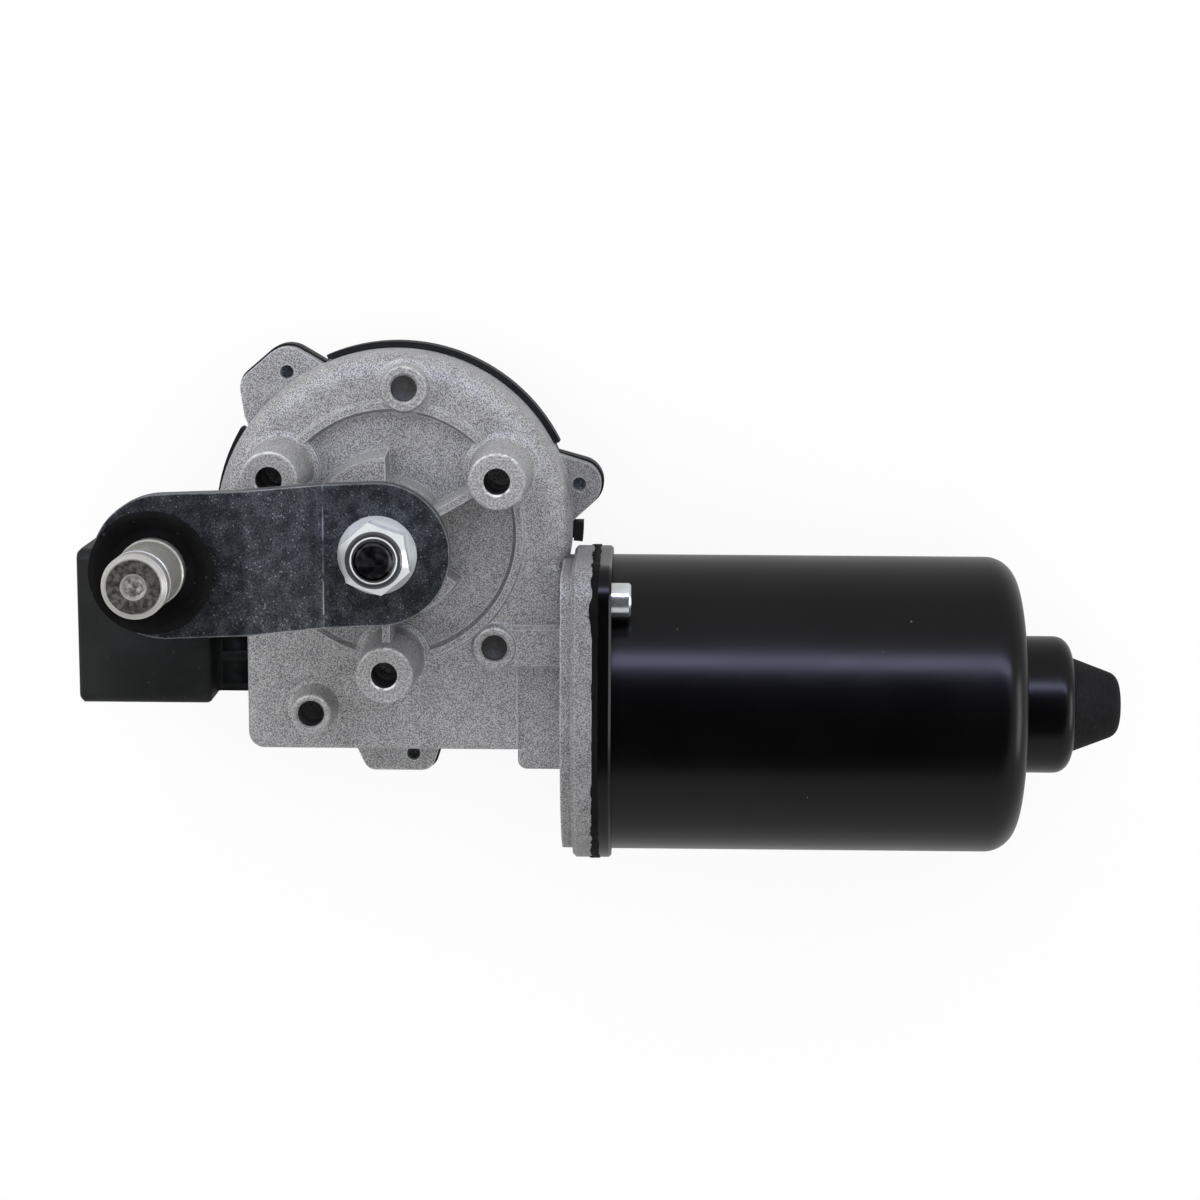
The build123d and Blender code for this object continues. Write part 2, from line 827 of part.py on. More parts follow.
def make_armature_windings():
    """The copper in the slots and the end turns on both sides, as one wound body."""
    outer = core_radius() - tooth_tip - winding_gap
    inner = core_hub_radius + winding_gap
    slots = Circle(outer) - Circle(inner)
    for index in range(slot_count):
        angle = index * 360 / slot_count
        slots -= Rot(0, 0, angle) * Pos(outer / 2, 0) * Rectangle(outer + 4, tooth_width + 2 * winding_gap)
    start = core_start - winding_gap
    end = core_start + core_length + winding_gap
    plane = Plane(origin=(start - 1, motor_y, motor_z), x_dir=(0, 1, 0), z_dir=(1, 0, 0))
    wound = extrude(plane * slots, end - start + 2)
    for face, side in ((start, -1), (end, 1)):
        far = face + side * winding_length
        outline = Polyline(
            (face, inner),
            (face, outer),
            (face + side * winding_length * 0.6, outer - 0.8),
            (far, outer - 4),
            (far, inner + 2),
            close=True,
        )
        wound += about_motor(make_face(outline))
    return wound


def make_commutator():
    """Copper bars round an insulating hub, slit between the bars."""
    end = commutator_start + commutator_length
    body = sleeve(commutator_radius, armature_shaft_radius + fit, commutator_start, end)
    body += sleeve(commutator_radius + 1.6, commutator_radius - 1, end - 1.6, end)
    for index in range(slot_count):
        slit = Box(commutator_length - 2, 1.2, commutator_slit)
        place = Pos(commutator_start + commutator_length / 2 - 1.2, motor_y, motor_z)
        body -= place * Rot(index * 360 / slot_count, 0, 0) * Pos(0, commutator_radius, 0) * slit
    return body


def worm_thread():
    """One right-hand start, swept along its helix about X and trimmed square at both ends."""
    half_pitch_width = worm_lead * tooth_width_share / 2
    slope = tan(radians(pressure_angle))
    root = worm_root_radius - 0.3
    tip_half = half_pitch_width - slope * addendum
    root_half = half_pitch_width + slope * (worm_pitch_radius - root)
    turns = worm_length / worm_lead + 1
    path = Helix(pitch=worm_lead, height=worm_lead * turns, radius=worm_pitch_radius)
    outline = Polyline(
        (root, -root_half),
        (worm_radius, -tip_half),
        (worm_radius, tip_half),
        (root, root_half),
        close=True,
    )
    section = Plane.XZ * make_face(outline)
    thread = sweep(section, path=path, is_frenet=True)
    return thread, turns


def make_armature_shaft():
    """The armature shaft with its rolled worm."""
    thread, turns = worm_thread()
    first = worm_lead / 2 - round(worm_lead * turns / 2 / worm_lead) * worm_lead
    # The helix is drawn about Z from +X, and is turned so that Z runs along the motor and +X faces the wheel.
    thread = Pos(first, motor_y, motor_z) * Rot(0, 90, 0) * Rot(0, 0, 90) * thread
    thread &= rod(worm_radius + 1, -worm_length / 2, worm_length / 2)
    start = body_left + end_wall + button_length + 0.1
    journal_end = start + end_bush_length + 1
    shaft = rod(end_journal_radius, start, journal_end + 0.5)
    shaft += rod(worm_root_radius, journal_end, worm_length / 2 + worm_root_reach)
    shaft += rod(armature_shaft_radius, worm_length / 2 + worm_root_reach - 0.5, rear_bush_start() - 0.5)
    shaft += rod(end_journal_radius, rear_bush_start() - 1, rear_bush_start() + rear_bush_length + 0.6)
    return shaft + thread


def rear_bush_start():
    return can_end + 0.8


def make_worm_wheel():
    """The moulded wheel: helical teeth that match the worm, a lightened web and a hub."""
    half_angle = 360 / wheel_teeth * tooth_width_share / 2
    slope = tan(radians(pressure_angle))
    tip = wheel_radius + addendum
    root = wheel_radius - dedendum
    tip_half = half_angle - degrees(slope * addendum / wheel_radius)
    root_half = half_angle + degrees(slope * dedendum / wheel_radius)
    points = []
    for index in range(wheel_teeth):
        middle = -90 + index * 360 / wheel_teeth
        points.append(on_circle(root, middle - root_half))
        points.append(on_circle(tip, middle - tip_half))
        points.append(on_circle(tip, middle + tip_half))
        points.append(on_circle(root, middle + root_half))
    section = make_face(Polyline(*points, close=True))
    twist = degrees(wheel_face * tan(radians(lead_angle)) / wheel_radius)
    rim = Solid.extrude_linear_with_rotation(section.face(), (0, 0, 0), (0, 0, wheel_face), twist)
    before = degrees((motor_z - wheel_bottom()) * tan(radians(lead_angle)) / wheel_radius)
    wheel = Pos(0, 0, wheel_bottom()) * Rot(0, 0, -before) * Part(rim.wrapped)
    hub_radius = shaft_radius + 4.5
    web = ring(root - 3, hub_radius, wheel_top() - 3.2, wheel_top() + 1)
    for index in range(6):
        web -= Rot(0, 0, index * 60) * block(0, root, -0.9, 0.9, wheel_bottom(), wheel_top() + 2)
    wheel -= web
    wheel += disc(hub_radius, wheel_top() - 1, ceiling_level - axial_play)
    return wheel - disc(shaft_radius + fit, wheel_bottom() - 1, ceiling_level)


def wheel_top():
    return ceiling_level - 0.6


def wheel_bottom():
    return wheel_top() - wheel_face


def make_contact_disc():
    """The printed track disc, with the notch that marks the park position."""
    inner, outer = contact_tracks[0] - 2, contact_tracks[-1] + 2
    level = wheel_bottom() - contact_disc_thickness
    plate = ring(outer, inner, level, wheel_bottom())
    notch = sector(contact_tracks[1] - 1.5, outer + 1, level - 1, wheel_bottom() + 1, 80, 110)
    return plate - notch


def make_contact_finger(index):
    """A spring strip from the carrier up to one track of the contact disc."""
    radius = contact_tracks[index]
    y = neck_top - 3.5 - 2.5 * index
    tip_x = -sqrt(radius * radius - y * y)
    carrier = carrier_top()
    top = wheel_bottom() - contact_disc_thickness - 0.1
    thickness = 0.3
    lower = [(tip_x - 10, carrier), (tip_x - 5, carrier)]
    lower += [(tip_x - 0.6, top - thickness), (tip_x + 0.6, top - thickness)]
    upper = [(x, z + thickness) for x, z in reversed(lower)]
    strip = make_face(Plane.XZ.offset(-y - 0.7) * Polyline(*lower, *upper, close=True))
    return extrude(strip, 1.4)


def make_output_shaft():
    """The output shaft: journal, ring groove, taper for the crank and threaded end."""
    bottom = wheel_bottom() - shaft_tail
    crank_top = crank_hub_level + crank_thickness
    groove_from = tube_top + washer_thickness
    groove_radius = shaft_radius - retaining_groove_depth
    outline = Polyline(
        (0, bottom),
        (shaft_radius - 0.5, bottom),
        (shaft_radius, bottom + 0.5),
        (shaft_radius, groove_from),
        (groove_radius, groove_from),
        (groove_radius, groove_from + ring_thickness + 0.1),
        (shaft_radius, groove_from + ring_thickness + 0.1),
        (shaft_radius, crank_hub_level - 0.3),
        (taper_end_radius, crank_top),
        (thread_radius, crank_top),
        (thread_radius, shaft_end - 0.8),
        (thread_radius - 0.8, shaft_end),
        (0, shaft_end),
        close=True,
    )
    return revolve(make_face(Plane.XZ * outline), Axis.Z)


def make_output_bush(top):
    return ring(shaft_radius + bush_wall, shaft_radius + running, top - bush_length, top)


def make_retaining_ring():
    level = tube_top + washer_thickness + 0.05
    body = ring(ring_radius, shaft_radius - retaining_groove_depth + fit, level, level + ring_thickness)
    return body - block(0, ring_radius + 1, -1.5, 1.5, level - 1, level + ring_thickness + 1)


def crank_side():
    """The arm seen from the side: a flat hub end, a rise, and a flat pin end."""
    rise_angle = atan(crank_rise / (crank_bend_end - crank_bend_start))
    shift = crank_thickness * tan(rise_angle / 2)
    low, high = crank_hub_level, crank_hub_level + crank_rise
    far = crank_radius + crank_width
    outline = Polyline(
        (-crank_width, low),
        (crank_bend_start, low),
        (crank_bend_end, high),
        (far, high),
        (far, high + crank_thickness),
        (crank_bend_end - shift, high + crank_thickness),
        (crank_bend_start - shift, low + crank_thickness),
        (-crank_width, low + crank_thickness),
        close=True,
    )
    profile = make_face(Plane.XZ * outline)
    bends = [v for v in profile.vertices() if -crank_width / 2 < v.X < far - 1]
    return fillet(bends, crank_bend_radius)


def in_crank(shape):
    """Turns a shape drawn along +X to the arm's rest position."""
    return Rot(0, 0, crank_angle) * shape


def crank_top_level():
    return crank_hub_level + crank_rise + crank_thickness


def make_crank_arm():
    arm = extrude(crank_side(), crank_width, both=True)
    length = crank_radius - crank_end_setback
    plan = Rot(0, 0, crank_skew) * Pos(length / 2, 0) * SlotCenterToCenter(length, crank_width)
    arm &= extrude(plan, shaft_end * 2)
    hub_top = crank_hub_level + crank_thickness
    taper = Pos(0, 0, (crank_hub_level + hub_top) / 2) * Cone(
        shaft_radius + fit, taper_end_radius + fit, crank_thickness
    )
    arm -= taper
    arm -= disc(pin_shank_radius + fit, 0, crank_top_level() + 1, crank_radius)
    return in_crank(arm)


def make_crank_nut():
    """A hexagon flange nut with a conical crown."""
    seat = crank_hub_level + crank_thickness
    top = seat + nut_height
    hexagon = RegularPolygon(nut_across_flats / 2, 6, major_radius=False, rotation=nut_turn)
    body = extrude(Plane.XY.offset(seat) * hexagon, nut_height)
    crown = Cone(nut_crown_radius + nut_height, nut_crown_radius, nut_height)
    body &= Pos(0, 0, seat + nut_height / 2) * crown
    skirt_height = nut_flange_thickness + 1.2
    outline = Polyline(
        (0, seat),
        (nut_flange_radius - 0.3, seat),
        (nut_flange_radius, seat + 0.5),
        (nut_flange_radius - 0.5, seat + nut_flange_thickness * 0.8),
        (nut_across_flats / 2, seat + skirt_height),
        (0, seat + skirt_height),
        close=True,
    )
    body += revolve(make_face(Plane.XZ * outline), Axis.Z)
    body -= disc(thread_radius + fit, seat - 1, top + 1)
    mouth = Cone(thread_radius, thread_radius + nut_countersink, nut_countersink)
    return body - Pos(0, 0, top - nut_countersink / 2) * mouth


def make_crank_pin():
    """The riveted drive pin with its snap groove and centre dimple."""
    seat = crank_top_level()
    under = seat - crank_thickness
    top = seat + pin_height
    groove = top - pin_groove_from_end
    collar_top = seat + seal_cup_height + axial_play
    outline = Polyline(
        (0, under - pin_rivet),
        (pin_rivet_radius - 1, under - pin_rivet),
        (pin_rivet_radius, under - pin_rivet * 0.4),
        (pin_rivet_radius, under),
        (pin_shank_radius, under),
        (pin_shank_radius, seat),
        (pin_collar_radius, seat),
        (pin_collar_radius, collar_top - 0.3),
        (pin_radius, collar_top),
        (pin_radius, groove - pin_groove_width),
        (pin_radius - pin_groove_depth, groove - pin_groove_width / 2),
        (pin_radius, groove),
        (pin_radius, top - 0.9),
        (pin_radius - 0.9, top),
        (pin_dimple_radius, top),
        (pin_dimple_radius * 0.7, top - pin_dimple_depth),
        (0, top - pin_dimple_depth),
        close=True,
    )
    pin = revolve(make_face(Plane.XZ * outline), Axis.Z)
    return in_crank(Pos(crank_radius, 0, 0) * pin)


def make_pin_seal():
    """The rubber cup that seals the joint on the pin."""
    seat = crank_top_level()
    inner = pin_collar_radius + fit
    floor = seat + seal_cup_base
    lip = seat + seal_cup_height
    outline = Polyline(
        (inner, seat),
        (seal_cup_radius - seal_cup_taper, seat),
        (seal_cup_radius, lip - 0.4),
        (seal_cup_radius - 0.2, lip),
        (seal_cup_radius - seal_cup_lip, lip),
        (seal_cup_radius - seal_cup_taper - seal_cup_lip, floor),
        (inner, floor),
        close=True,
    )
    return in_crank(Pos(crank_radius, 0, 0) * revolve(make_face(Plane.XZ * outline), Axis.Z))


def brush_plate_start():
    return flange_end + spigot_length


def brush_middle():
    return brush_plate_start() + brush_plate_thickness + 1.0 + brush_width / 2


def at_brush(angle, shape):
    """Places a shape, drawn with +Y pointing outwards, at a brush position."""
    return Pos(brush_middle(), motor_y, motor_z) * Rot(angle, 0, 0) * shape


def brush_start():
    return commutator_radius + running


def make_brush(angle):
    brush = Pos(0, brush_start() + brush_length / 2, 0) * Box(brush_width, brush_length, brush_depth)
    return at_brush(angle, brush)


def make_brush_holder(angle):
    """A folded brass guide standing on the brush plate."""
    inner_length = brush_length + 1.5
    length = inner_length
    start = brush_start() + 2.0
    outer = Pos(0, start + length / 2, 0) * Box(
        brush_width + 2 * holder_wall + 2 * fit, length, brush_depth + 2 * holder_wall + 2 * fit
    )
    inner = Pos(0, start + length / 2, 0) * Box(brush_width + 2 * fit, length + 2, brush_depth + 2 * fit)
    foot_x = -(brush_width / 2 + holder_wall + fit)
    gap = brush_middle() + foot_x - (brush_plate_start() + brush_plate_thickness)
    foot = Pos(foot_x - gap / 2, start + length / 2, 0) * Box(gap, length - 4, brush_depth - 2)
    return at_brush(angle, outer - inner + foot)


def make_brush_spring(angle):
    """A folded leaf that presses the brush onto the commutator."""
    start = brush_start() + brush_length
    width = brush_width - 1
    leaves = Pos(0, start + spring_strip / 2, 0) * Box(width, spring_strip, brush_depth - 1)
    leaves += Pos(0, start + 3, 0) * Box(width, spring_strip, brush_depth - 1)
    leaves += Pos(0, start + 1.6, brush_depth / 2 - 0.8) * Box(width, 3.2, spring_strip)
    return at_brush(angle, leaves)


def make_brush_plate():
    """The insulating plate that carries the brush gear on the gearbox spigot."""
    start = brush_plate_start()
    plate = sleeve(spigot_radius(), commutator_radius + 2.5, start, start + brush_plate_thickness)
    for angle in plate_hole_angles:
        drill = Rot(0, 90, 0) * Cylinder(plate_hole_radius, 4 * brush_plate_thickness)
        hole = Pos(0, choke_circle(), 0) * drill
        plate -= Pos(start, motor_y, motor_z) * Rot(angle, 0, 0) * hole
    return plate


def choke_circle():
    """The middle of the room between the commutator and the can."""
    return (commutator_radius + spigot_radius()) / 2 + 0.6


def make_choke(angle):
    """A suppression choke: a wound bobbin lying on the brush plate."""
    place = Pos(brush_plate_start() + brush_plate_thickness + choke_radius, motor_y, motor_z) * Rot(angle, 0, 0)
    bobbin = Cylinder(choke_radius - choke_rim, choke_length)
    for side in (-1, 1):
        bobbin += Pos(0, 0, side * (choke_length - choke_rim) / 2) * Cylinder(choke_radius, choke_rim)
    return place * Pos(0, choke_circle(), 0) * bobbin


nodes = {
    "gearbox_housing": make_gearbox_housing(),
    "cover_seal": make_cover_seal(),
    "back_cover": make_back_cover(),
    "connector_housing": make_connector_housing(),
    "motor_gasket": make_motor_gasket(),
    "motor_can": make_motor_can(),
    "rear_cap": make_rear_cap(),
    "brush_plate": make_brush_plate(),
    "front_bush": sleeve(
        armature_shaft_radius + front_bush_wall, armature_shaft_radius + running, front_bush_start, flange_end - 1.0
    ),
    "end_bush": sleeve(
        tunnel_radius - fit,
        end_journal_radius + running,
        body_left + end_wall + button_length + 0.6,
        body_left + end_wall + button_length + 0.6 + end_bush_length,
    ),
    "thrust_button": rod(end_journal_radius, body_left + end_wall, body_left + end_wall + button_length),
    "rear_bush": sleeve(
        nose_radius - can_wall - fit,
        end_journal_radius + running,
        rear_bush_start(),
        rear_bush_start() + rear_bush_length,
    ),
    "output_bush_top": make_output_bush(tube_top),
    "output_bush_bottom": make_output_bush(ceiling_level + bush_length),
    "thrust_washer": ring(washer_radius, shaft_radius + running, tube_top, tube_top + washer_thickness),
    "armature_shaft": make_armature_shaft(),
    "armature_core": make_armature_core(),
    "armature_windings": make_armature_windings(),
    "commutator": make_commutator(),
    "worm_wheel": make_worm_wheel(),
    "contact_disc": make_contact_disc(),
    "output_shaft": make_output_shaft(),
    "retaining_ring": make_retaining_ring(),
    "crank_arm": make_crank_arm(),
    "crank_nut": make_crank_nut(),
    "crank_pin": make_crank_pin(),
    "pin_seal": make_pin_seal(),
}
for number, place in enumerate((lug_1, lug_2, lug_3), start=1):
    nodes[f"cover_screw_{number}"] = make_cover_screw(*place)
for number, place in enumerate(can_screw_places(), start=1):
    nodes[f"can_screw_{number}"] = make_can_screw(*place)
for number, y in enumerate(terminal_places(), start=1):
    nodes[f"terminal_{number}"] = make_terminal(y)
for number in range(1, len(contact_tracks) + 1):
    nodes[f"contact_finger_{number}"] = make_contact_finger(number - 1)
for number, angle in enumerate(magnet_middles, start=1):
    nodes[f"magnet_{number}"] = make_magnet(angle)
    nodes[f"magnet_spring_{number}"] = make_magnet_spring(angle + 90)
for number, angle in enumerate(brush_angles, start=1):
    nodes[f"brush_{number}"] = make_brush(angle)
    nodes[f"brush_holder_{number}"] = make_brush_holder(angle)
    nodes[f"brush_spring_{number}"] = make_brush_spring(angle)
for number, angle in enumerate(choke_angles, start=1):
    nodes[f"choke_{number}"] = make_choke(angle)

os.makedirs("parts", exist_ok=True)
for name, shape in nodes.items():
    export_step(shape, f"parts/{name}.step")
    print(name, round(shape.volume), len(shape.solids()))
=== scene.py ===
import json
import math
import bmesh
import bpy
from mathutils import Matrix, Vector, noise


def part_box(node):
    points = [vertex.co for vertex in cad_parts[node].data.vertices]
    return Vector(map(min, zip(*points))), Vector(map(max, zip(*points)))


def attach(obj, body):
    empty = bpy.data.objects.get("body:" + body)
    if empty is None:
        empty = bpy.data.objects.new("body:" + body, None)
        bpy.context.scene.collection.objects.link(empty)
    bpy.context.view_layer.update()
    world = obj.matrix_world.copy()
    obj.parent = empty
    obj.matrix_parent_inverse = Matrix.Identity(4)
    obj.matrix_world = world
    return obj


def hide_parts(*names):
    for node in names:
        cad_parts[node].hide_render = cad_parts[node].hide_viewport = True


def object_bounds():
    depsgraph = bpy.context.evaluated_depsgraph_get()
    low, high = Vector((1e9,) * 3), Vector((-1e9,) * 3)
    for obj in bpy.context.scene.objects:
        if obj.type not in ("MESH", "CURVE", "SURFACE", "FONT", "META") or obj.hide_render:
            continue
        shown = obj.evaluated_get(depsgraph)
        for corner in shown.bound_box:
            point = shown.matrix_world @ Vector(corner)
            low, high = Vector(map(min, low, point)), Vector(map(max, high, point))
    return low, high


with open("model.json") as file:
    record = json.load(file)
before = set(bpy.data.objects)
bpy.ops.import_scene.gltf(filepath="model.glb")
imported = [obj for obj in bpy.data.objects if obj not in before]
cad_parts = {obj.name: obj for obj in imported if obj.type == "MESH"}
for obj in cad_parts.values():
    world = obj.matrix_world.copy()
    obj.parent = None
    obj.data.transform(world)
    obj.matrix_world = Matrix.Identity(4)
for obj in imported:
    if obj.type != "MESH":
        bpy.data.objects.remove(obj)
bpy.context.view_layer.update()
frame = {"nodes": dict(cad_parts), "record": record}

nodes = frame["nodes"]
scene = bpy.context.scene
scene.view_settings.view_transform = "Standard"
mm = 0.001


# Node groups and small helpers for the materials

def linkOrSet(tree, socket, value):
    if isinstance(value, bpy.types.NodeSocket):
        tree.links.new(value, socket)
    else:
        socket.default_value = value


def newGroup(name, inputs, outputs):
    group = bpy.data.node_groups.new(name, "ShaderNodeTree")
    for label, kind, value in inputs:
        socket = group.interface.new_socket(name=label, in_out="INPUT", socket_type=kind)
        if value is not None:
            socket.default_value = value
    for label, kind in outputs:
        group.interface.new_socket(name=label, in_out="OUTPUT", socket_type=kind)
    source = group.nodes.new("NodeGroupInput")
    target = group.nodes.new("NodeGroupOutput")
    return group, source, target


def addNode(tree, kind, inputs=None, **settings):
    node = tree.nodes.new(kind)
    for key, value in settings.items():
        setattr(node, key, value)
    for key, value in (inputs or {}).items():
        linkOrSet(tree, node.inputs[key], value)
    return node


def maths(tree, operation, first, second=0.0, third=0.0, clamp=False):
    node = addNode(tree, "ShaderNodeMath", {0: first, 1: second, 2: third}, operation=operation)
    node.use_clamp = clamp
    return node.outputs[0]


def vectorMaths(tree, operation, first, second=(0.0, 0.0, 0.0)):
    return addNode(tree, "ShaderNodeVectorMath", {0: first, 1: second}, operation=operation)


def remap(tree, value, low, high, newLow=0.0, newHigh=1.0):
    node = addNode(tree, "ShaderNodeMapRange", {
        "Value": value, "From Min": low, "From Max": high, "To Min": newLow, "To Max": newHigh,
    })
    node.interpolation_type = "SMOOTHSTEP"
    return node.outputs["Result"]


def mixColour(tree, factor, first, second, blend="MIX"):
    node = addNode(tree, "ShaderNodeMix", {0: factor}, data_type="RGBA", blend_type=blend)
    for socket, value in ((node.inputs[6], first), (node.inputs[7], second)):
        linkOrSet(tree, socket, (*value, 1.0) if isinstance(value, tuple) else value)
    return node.outputs[2]


def tint(tree, colour, mask, share, other):
    # another colour laid over the mask, by a share of it
    return mixColour(tree, maths(tree, "MULTIPLY", mask, share), colour, other)


def noiseOf(tree, vector, scale, detail=2.0, roughness=0.5):
    node = addNode(tree, "ShaderNodeTexNoise", {
        "Vector": vector, "Scale": scale, "Detail": detail, "Roughness": roughness,
    })
    return node.outputs["Fac"]


def makeGrainGroup():
    # fine sand grain with a slower mottle, as a cast or moulded skin has
    group, source, target = newGroup("skinGrain", [
        ("Vector", "NodeSocketVector", None),
        ("Grain Scale", "NodeSocketFloat", 1800.0),
        ("Mottle Scale", "NodeSocketFloat", 160.0),
    ], [("Grain", "NodeSocketFloat"), ("Mottle", "NodeSocketFloat"), ("Height", "NodeSocketFloat")])
    # turned, so that no flat face lies along the planes of the noise
    turned = addNode(group, "ShaderNodeVectorRotate", {
        "Vector": source.outputs["Vector"],
    }, rotation_type="EULER_XYZ")
    turned.inputs["Rotation"].default_value = (0.6, 0.4, 0.9)
    vector = turned.outputs["Vector"]
    grain = noiseOf(group, vector, source.outputs["Grain Scale"], 3.0, 0.6)
    mottle = noiseOf(group, vector, source.outputs["Mottle Scale"], 4.0, 0.55)
    height = maths(group, "MULTIPLY_ADD", mottle, 0.35, grain)
    group.links.new(remap(group, grain, 0.3, 0.7), target.inputs["Grain"])
    group.links.new(remap(group, mottle, 0.32, 0.68), target.inputs["Mottle"])
    group.links.new(height, target.inputs["Height"])
    return group


def makeFleckGroup():
    # sparse small flecks: dust, bright crystals or pits
    group, source, target = newGroup("fineFlecks", [
        ("Vector", "NodeSocketVector", None),
        ("Scale", "NodeSocketFloat", 500.0),
        ("Size", "NodeSocketFloat", 0.2),
        ("Share", "NodeSocketFloat", 0.1),
    ], [("Fleck", "NodeSocketFloat")])
    cells = addNode(group, "ShaderNodeTexVoronoi", {
        "Vector": source.outputs["Vector"], "Scale": source.outputs["Scale"],
    })
    near = maths(group, "LESS_THAN", cells.outputs["Distance"], source.outputs["Size"])
    parts = addNode(group, "ShaderNodeSeparateColor", {0: cells.outputs["Color"]})
    chosen = maths(group, "LESS_THAN", parts.outputs[0], source.outputs["Share"])
    strength = maths(group, "MULTIPLY", near, parts.outputs[1])
    group.links.new(maths(group, "MULTIPLY", strength, chosen), target.inputs["Fleck"])
    return group


def makeEdgeGroup():
    # painted highlight on edges: where a rounded normal leaves the true one
    group, source, target = newGroup("paintedEdgeHighlight", [
        ("Radius", "NodeSocketFloat", 0.0004),
        ("Start", "NodeSocketFloat", 0.03),
        ("End", "NodeSocketFloat", 0.25),
        ("Vector", "NodeSocketVector", None),
        ("Break Scale", "NodeSocketFloat", 400.0),
    ], [("Edge", "NodeSocketFloat")])
    rounded = addNode(group, "ShaderNodeBevel", {"Radius": source.outputs["Radius"]}, samples=4)
    true = addNode(group, "ShaderNodeNewGeometry")
    product = vectorMaths(group, "DOT_PRODUCT", rounded.outputs[0], true.outputs["Normal"])
    away = maths(group, "SUBTRACT", 1.0, product.outputs["Value"])
    broken = noiseOf(group, source.outputs["Vector"], source.outputs["Break Scale"], 3.0)
    spread = maths(group, "MULTIPLY", away, remap(group, broken, 0.3, 0.7, 0.5, 1.4))
    ranged = addNode(group, "ShaderNodeMapRange", {
        "Value": spread, "From Min": source.outputs["Start"], "From Max": source.outputs["End"],
    })
    group.links.new(ranged.outputs["Result"], target.inputs["Edge"])
    return group


def makeRingGroup():
    # a ring about an axis along Z, above a level, and the side of it that a point lies on
    group, source, target = newGroup("ringFace", [
        ("Vector", "NodeSocketVector", None),
        ("Centre", "NodeSocketVector", None),
        ("Inner", "NodeSocketFloat", 0.0),
        ("Outer", "NodeSocketFloat", 0.005),
        ("Soft", "NodeSocketFloat", 0.0002),
    ], [("Mask", "NodeSocketFloat"), ("Side", "NodeSocketFloat")])
    offset = vectorMaths(group, "SUBTRACT", source.outputs["Vector"], source.outputs["Centre"])
    parts = addNode(group, "ShaderNodeSeparateXYZ", {0: offset.outputs[0]})
    flat = addNode(group, "ShaderNodeCombineXYZ", {0: parts.outputs[0], 1: parts.outputs[1]})
    length = vectorMaths(group, "LENGTH", flat.outputs[0]).outputs["Value"]
    soft = source.outputs["Soft"]
    past = maths(group, "SUBTRACT", length, source.outputs["Inner"])
    within = maths(group, "SUBTRACT", source.outputs["Outer"], length)
    outside = maths(group, "DIVIDE", past, soft, clamp=True)
    inside = maths(group, "DIVIDE", within, soft, clamp=True)
    above = maths(group, "GREATER_THAN", parts.outputs[2], 0.0)
    both = maths(group, "MULTIPLY", outside, inside)
    group.links.new(maths(group, "MULTIPLY", both, above), target.inputs["Mask"])
    group.links.new(maths(group, "DIVIDE", parts.outputs[1], length), target.inputs["Side"])
    return group


def makeBrushedGroup():
    # streaks along one direction, as rolling, drawing or grinding leaves
    group, source, target = newGroup("drawnLines", [
        ("Vector", "NodeSocketVector", None),
        ("Stretch", "NodeSocketVector", (20.0, 600.0, 600.0)),
    ], [("Lines", "NodeSocketFloat")])
    stretched = vectorMaths(group, "MULTIPLY", source.outputs["Vector"], source.outputs["Stretch"])
    lines = noiseOf(group, stretched.outputs[0], 1.0, 4.0, 0.6)
    group.links.new(remap(group, lines, 0.3, 0.7), target.inputs["Lines"])
    return group


skinGrain = makeGrainGroup()
fineFlecks = makeFleckGroup()
paintedEdgeHighlight = makeEdgeGroup()
ringFace = makeRingGroup()
drawnLines = makeBrushedGroup()


def useGroup(tree, group, inputs):
    node = tree.nodes.new("ShaderNodeGroup")
    node.node_tree = group
    for key, value in inputs.items():
        linkOrSet(tree, node.inputs[key], value)
    return node.outputs


def ringAt(tree, place, centre, inner, outer, soft):
    # the centre in metres, radii and softness in millimetres
    return useGroup(tree, ringFace, {
        "Vector": place, "Centre": centre, "Inner": inner * mm, "Outer": outer * mm, "Soft": soft * mm,
    })


def newMaterial(name, metallic, specular=0.5):
    material = bpy.data.materials.new(name)
    material.use_nodes = True
    tree = material.node_tree
    shader = tree.nodes["Principled BSDF"]
    shader.inputs["Metallic"].default_value = metallic
    shader.inputs["IOR"].default_value = 1.5
    shader.inputs["Specular IOR Level"].default_value = specular
    place = tree.nodes.new("ShaderNodeTexCoord").outputs["Object"]
    return material, tree, shader, place


def bump(tree, shader, height, strength, distance):
    node = addNode(tree, "ShaderNodeBump", {"Height": height, "Strength": strength, "Distance": distance})
    tree.links.new(node.outputs["Normal"], shader.inputs["Normal"])
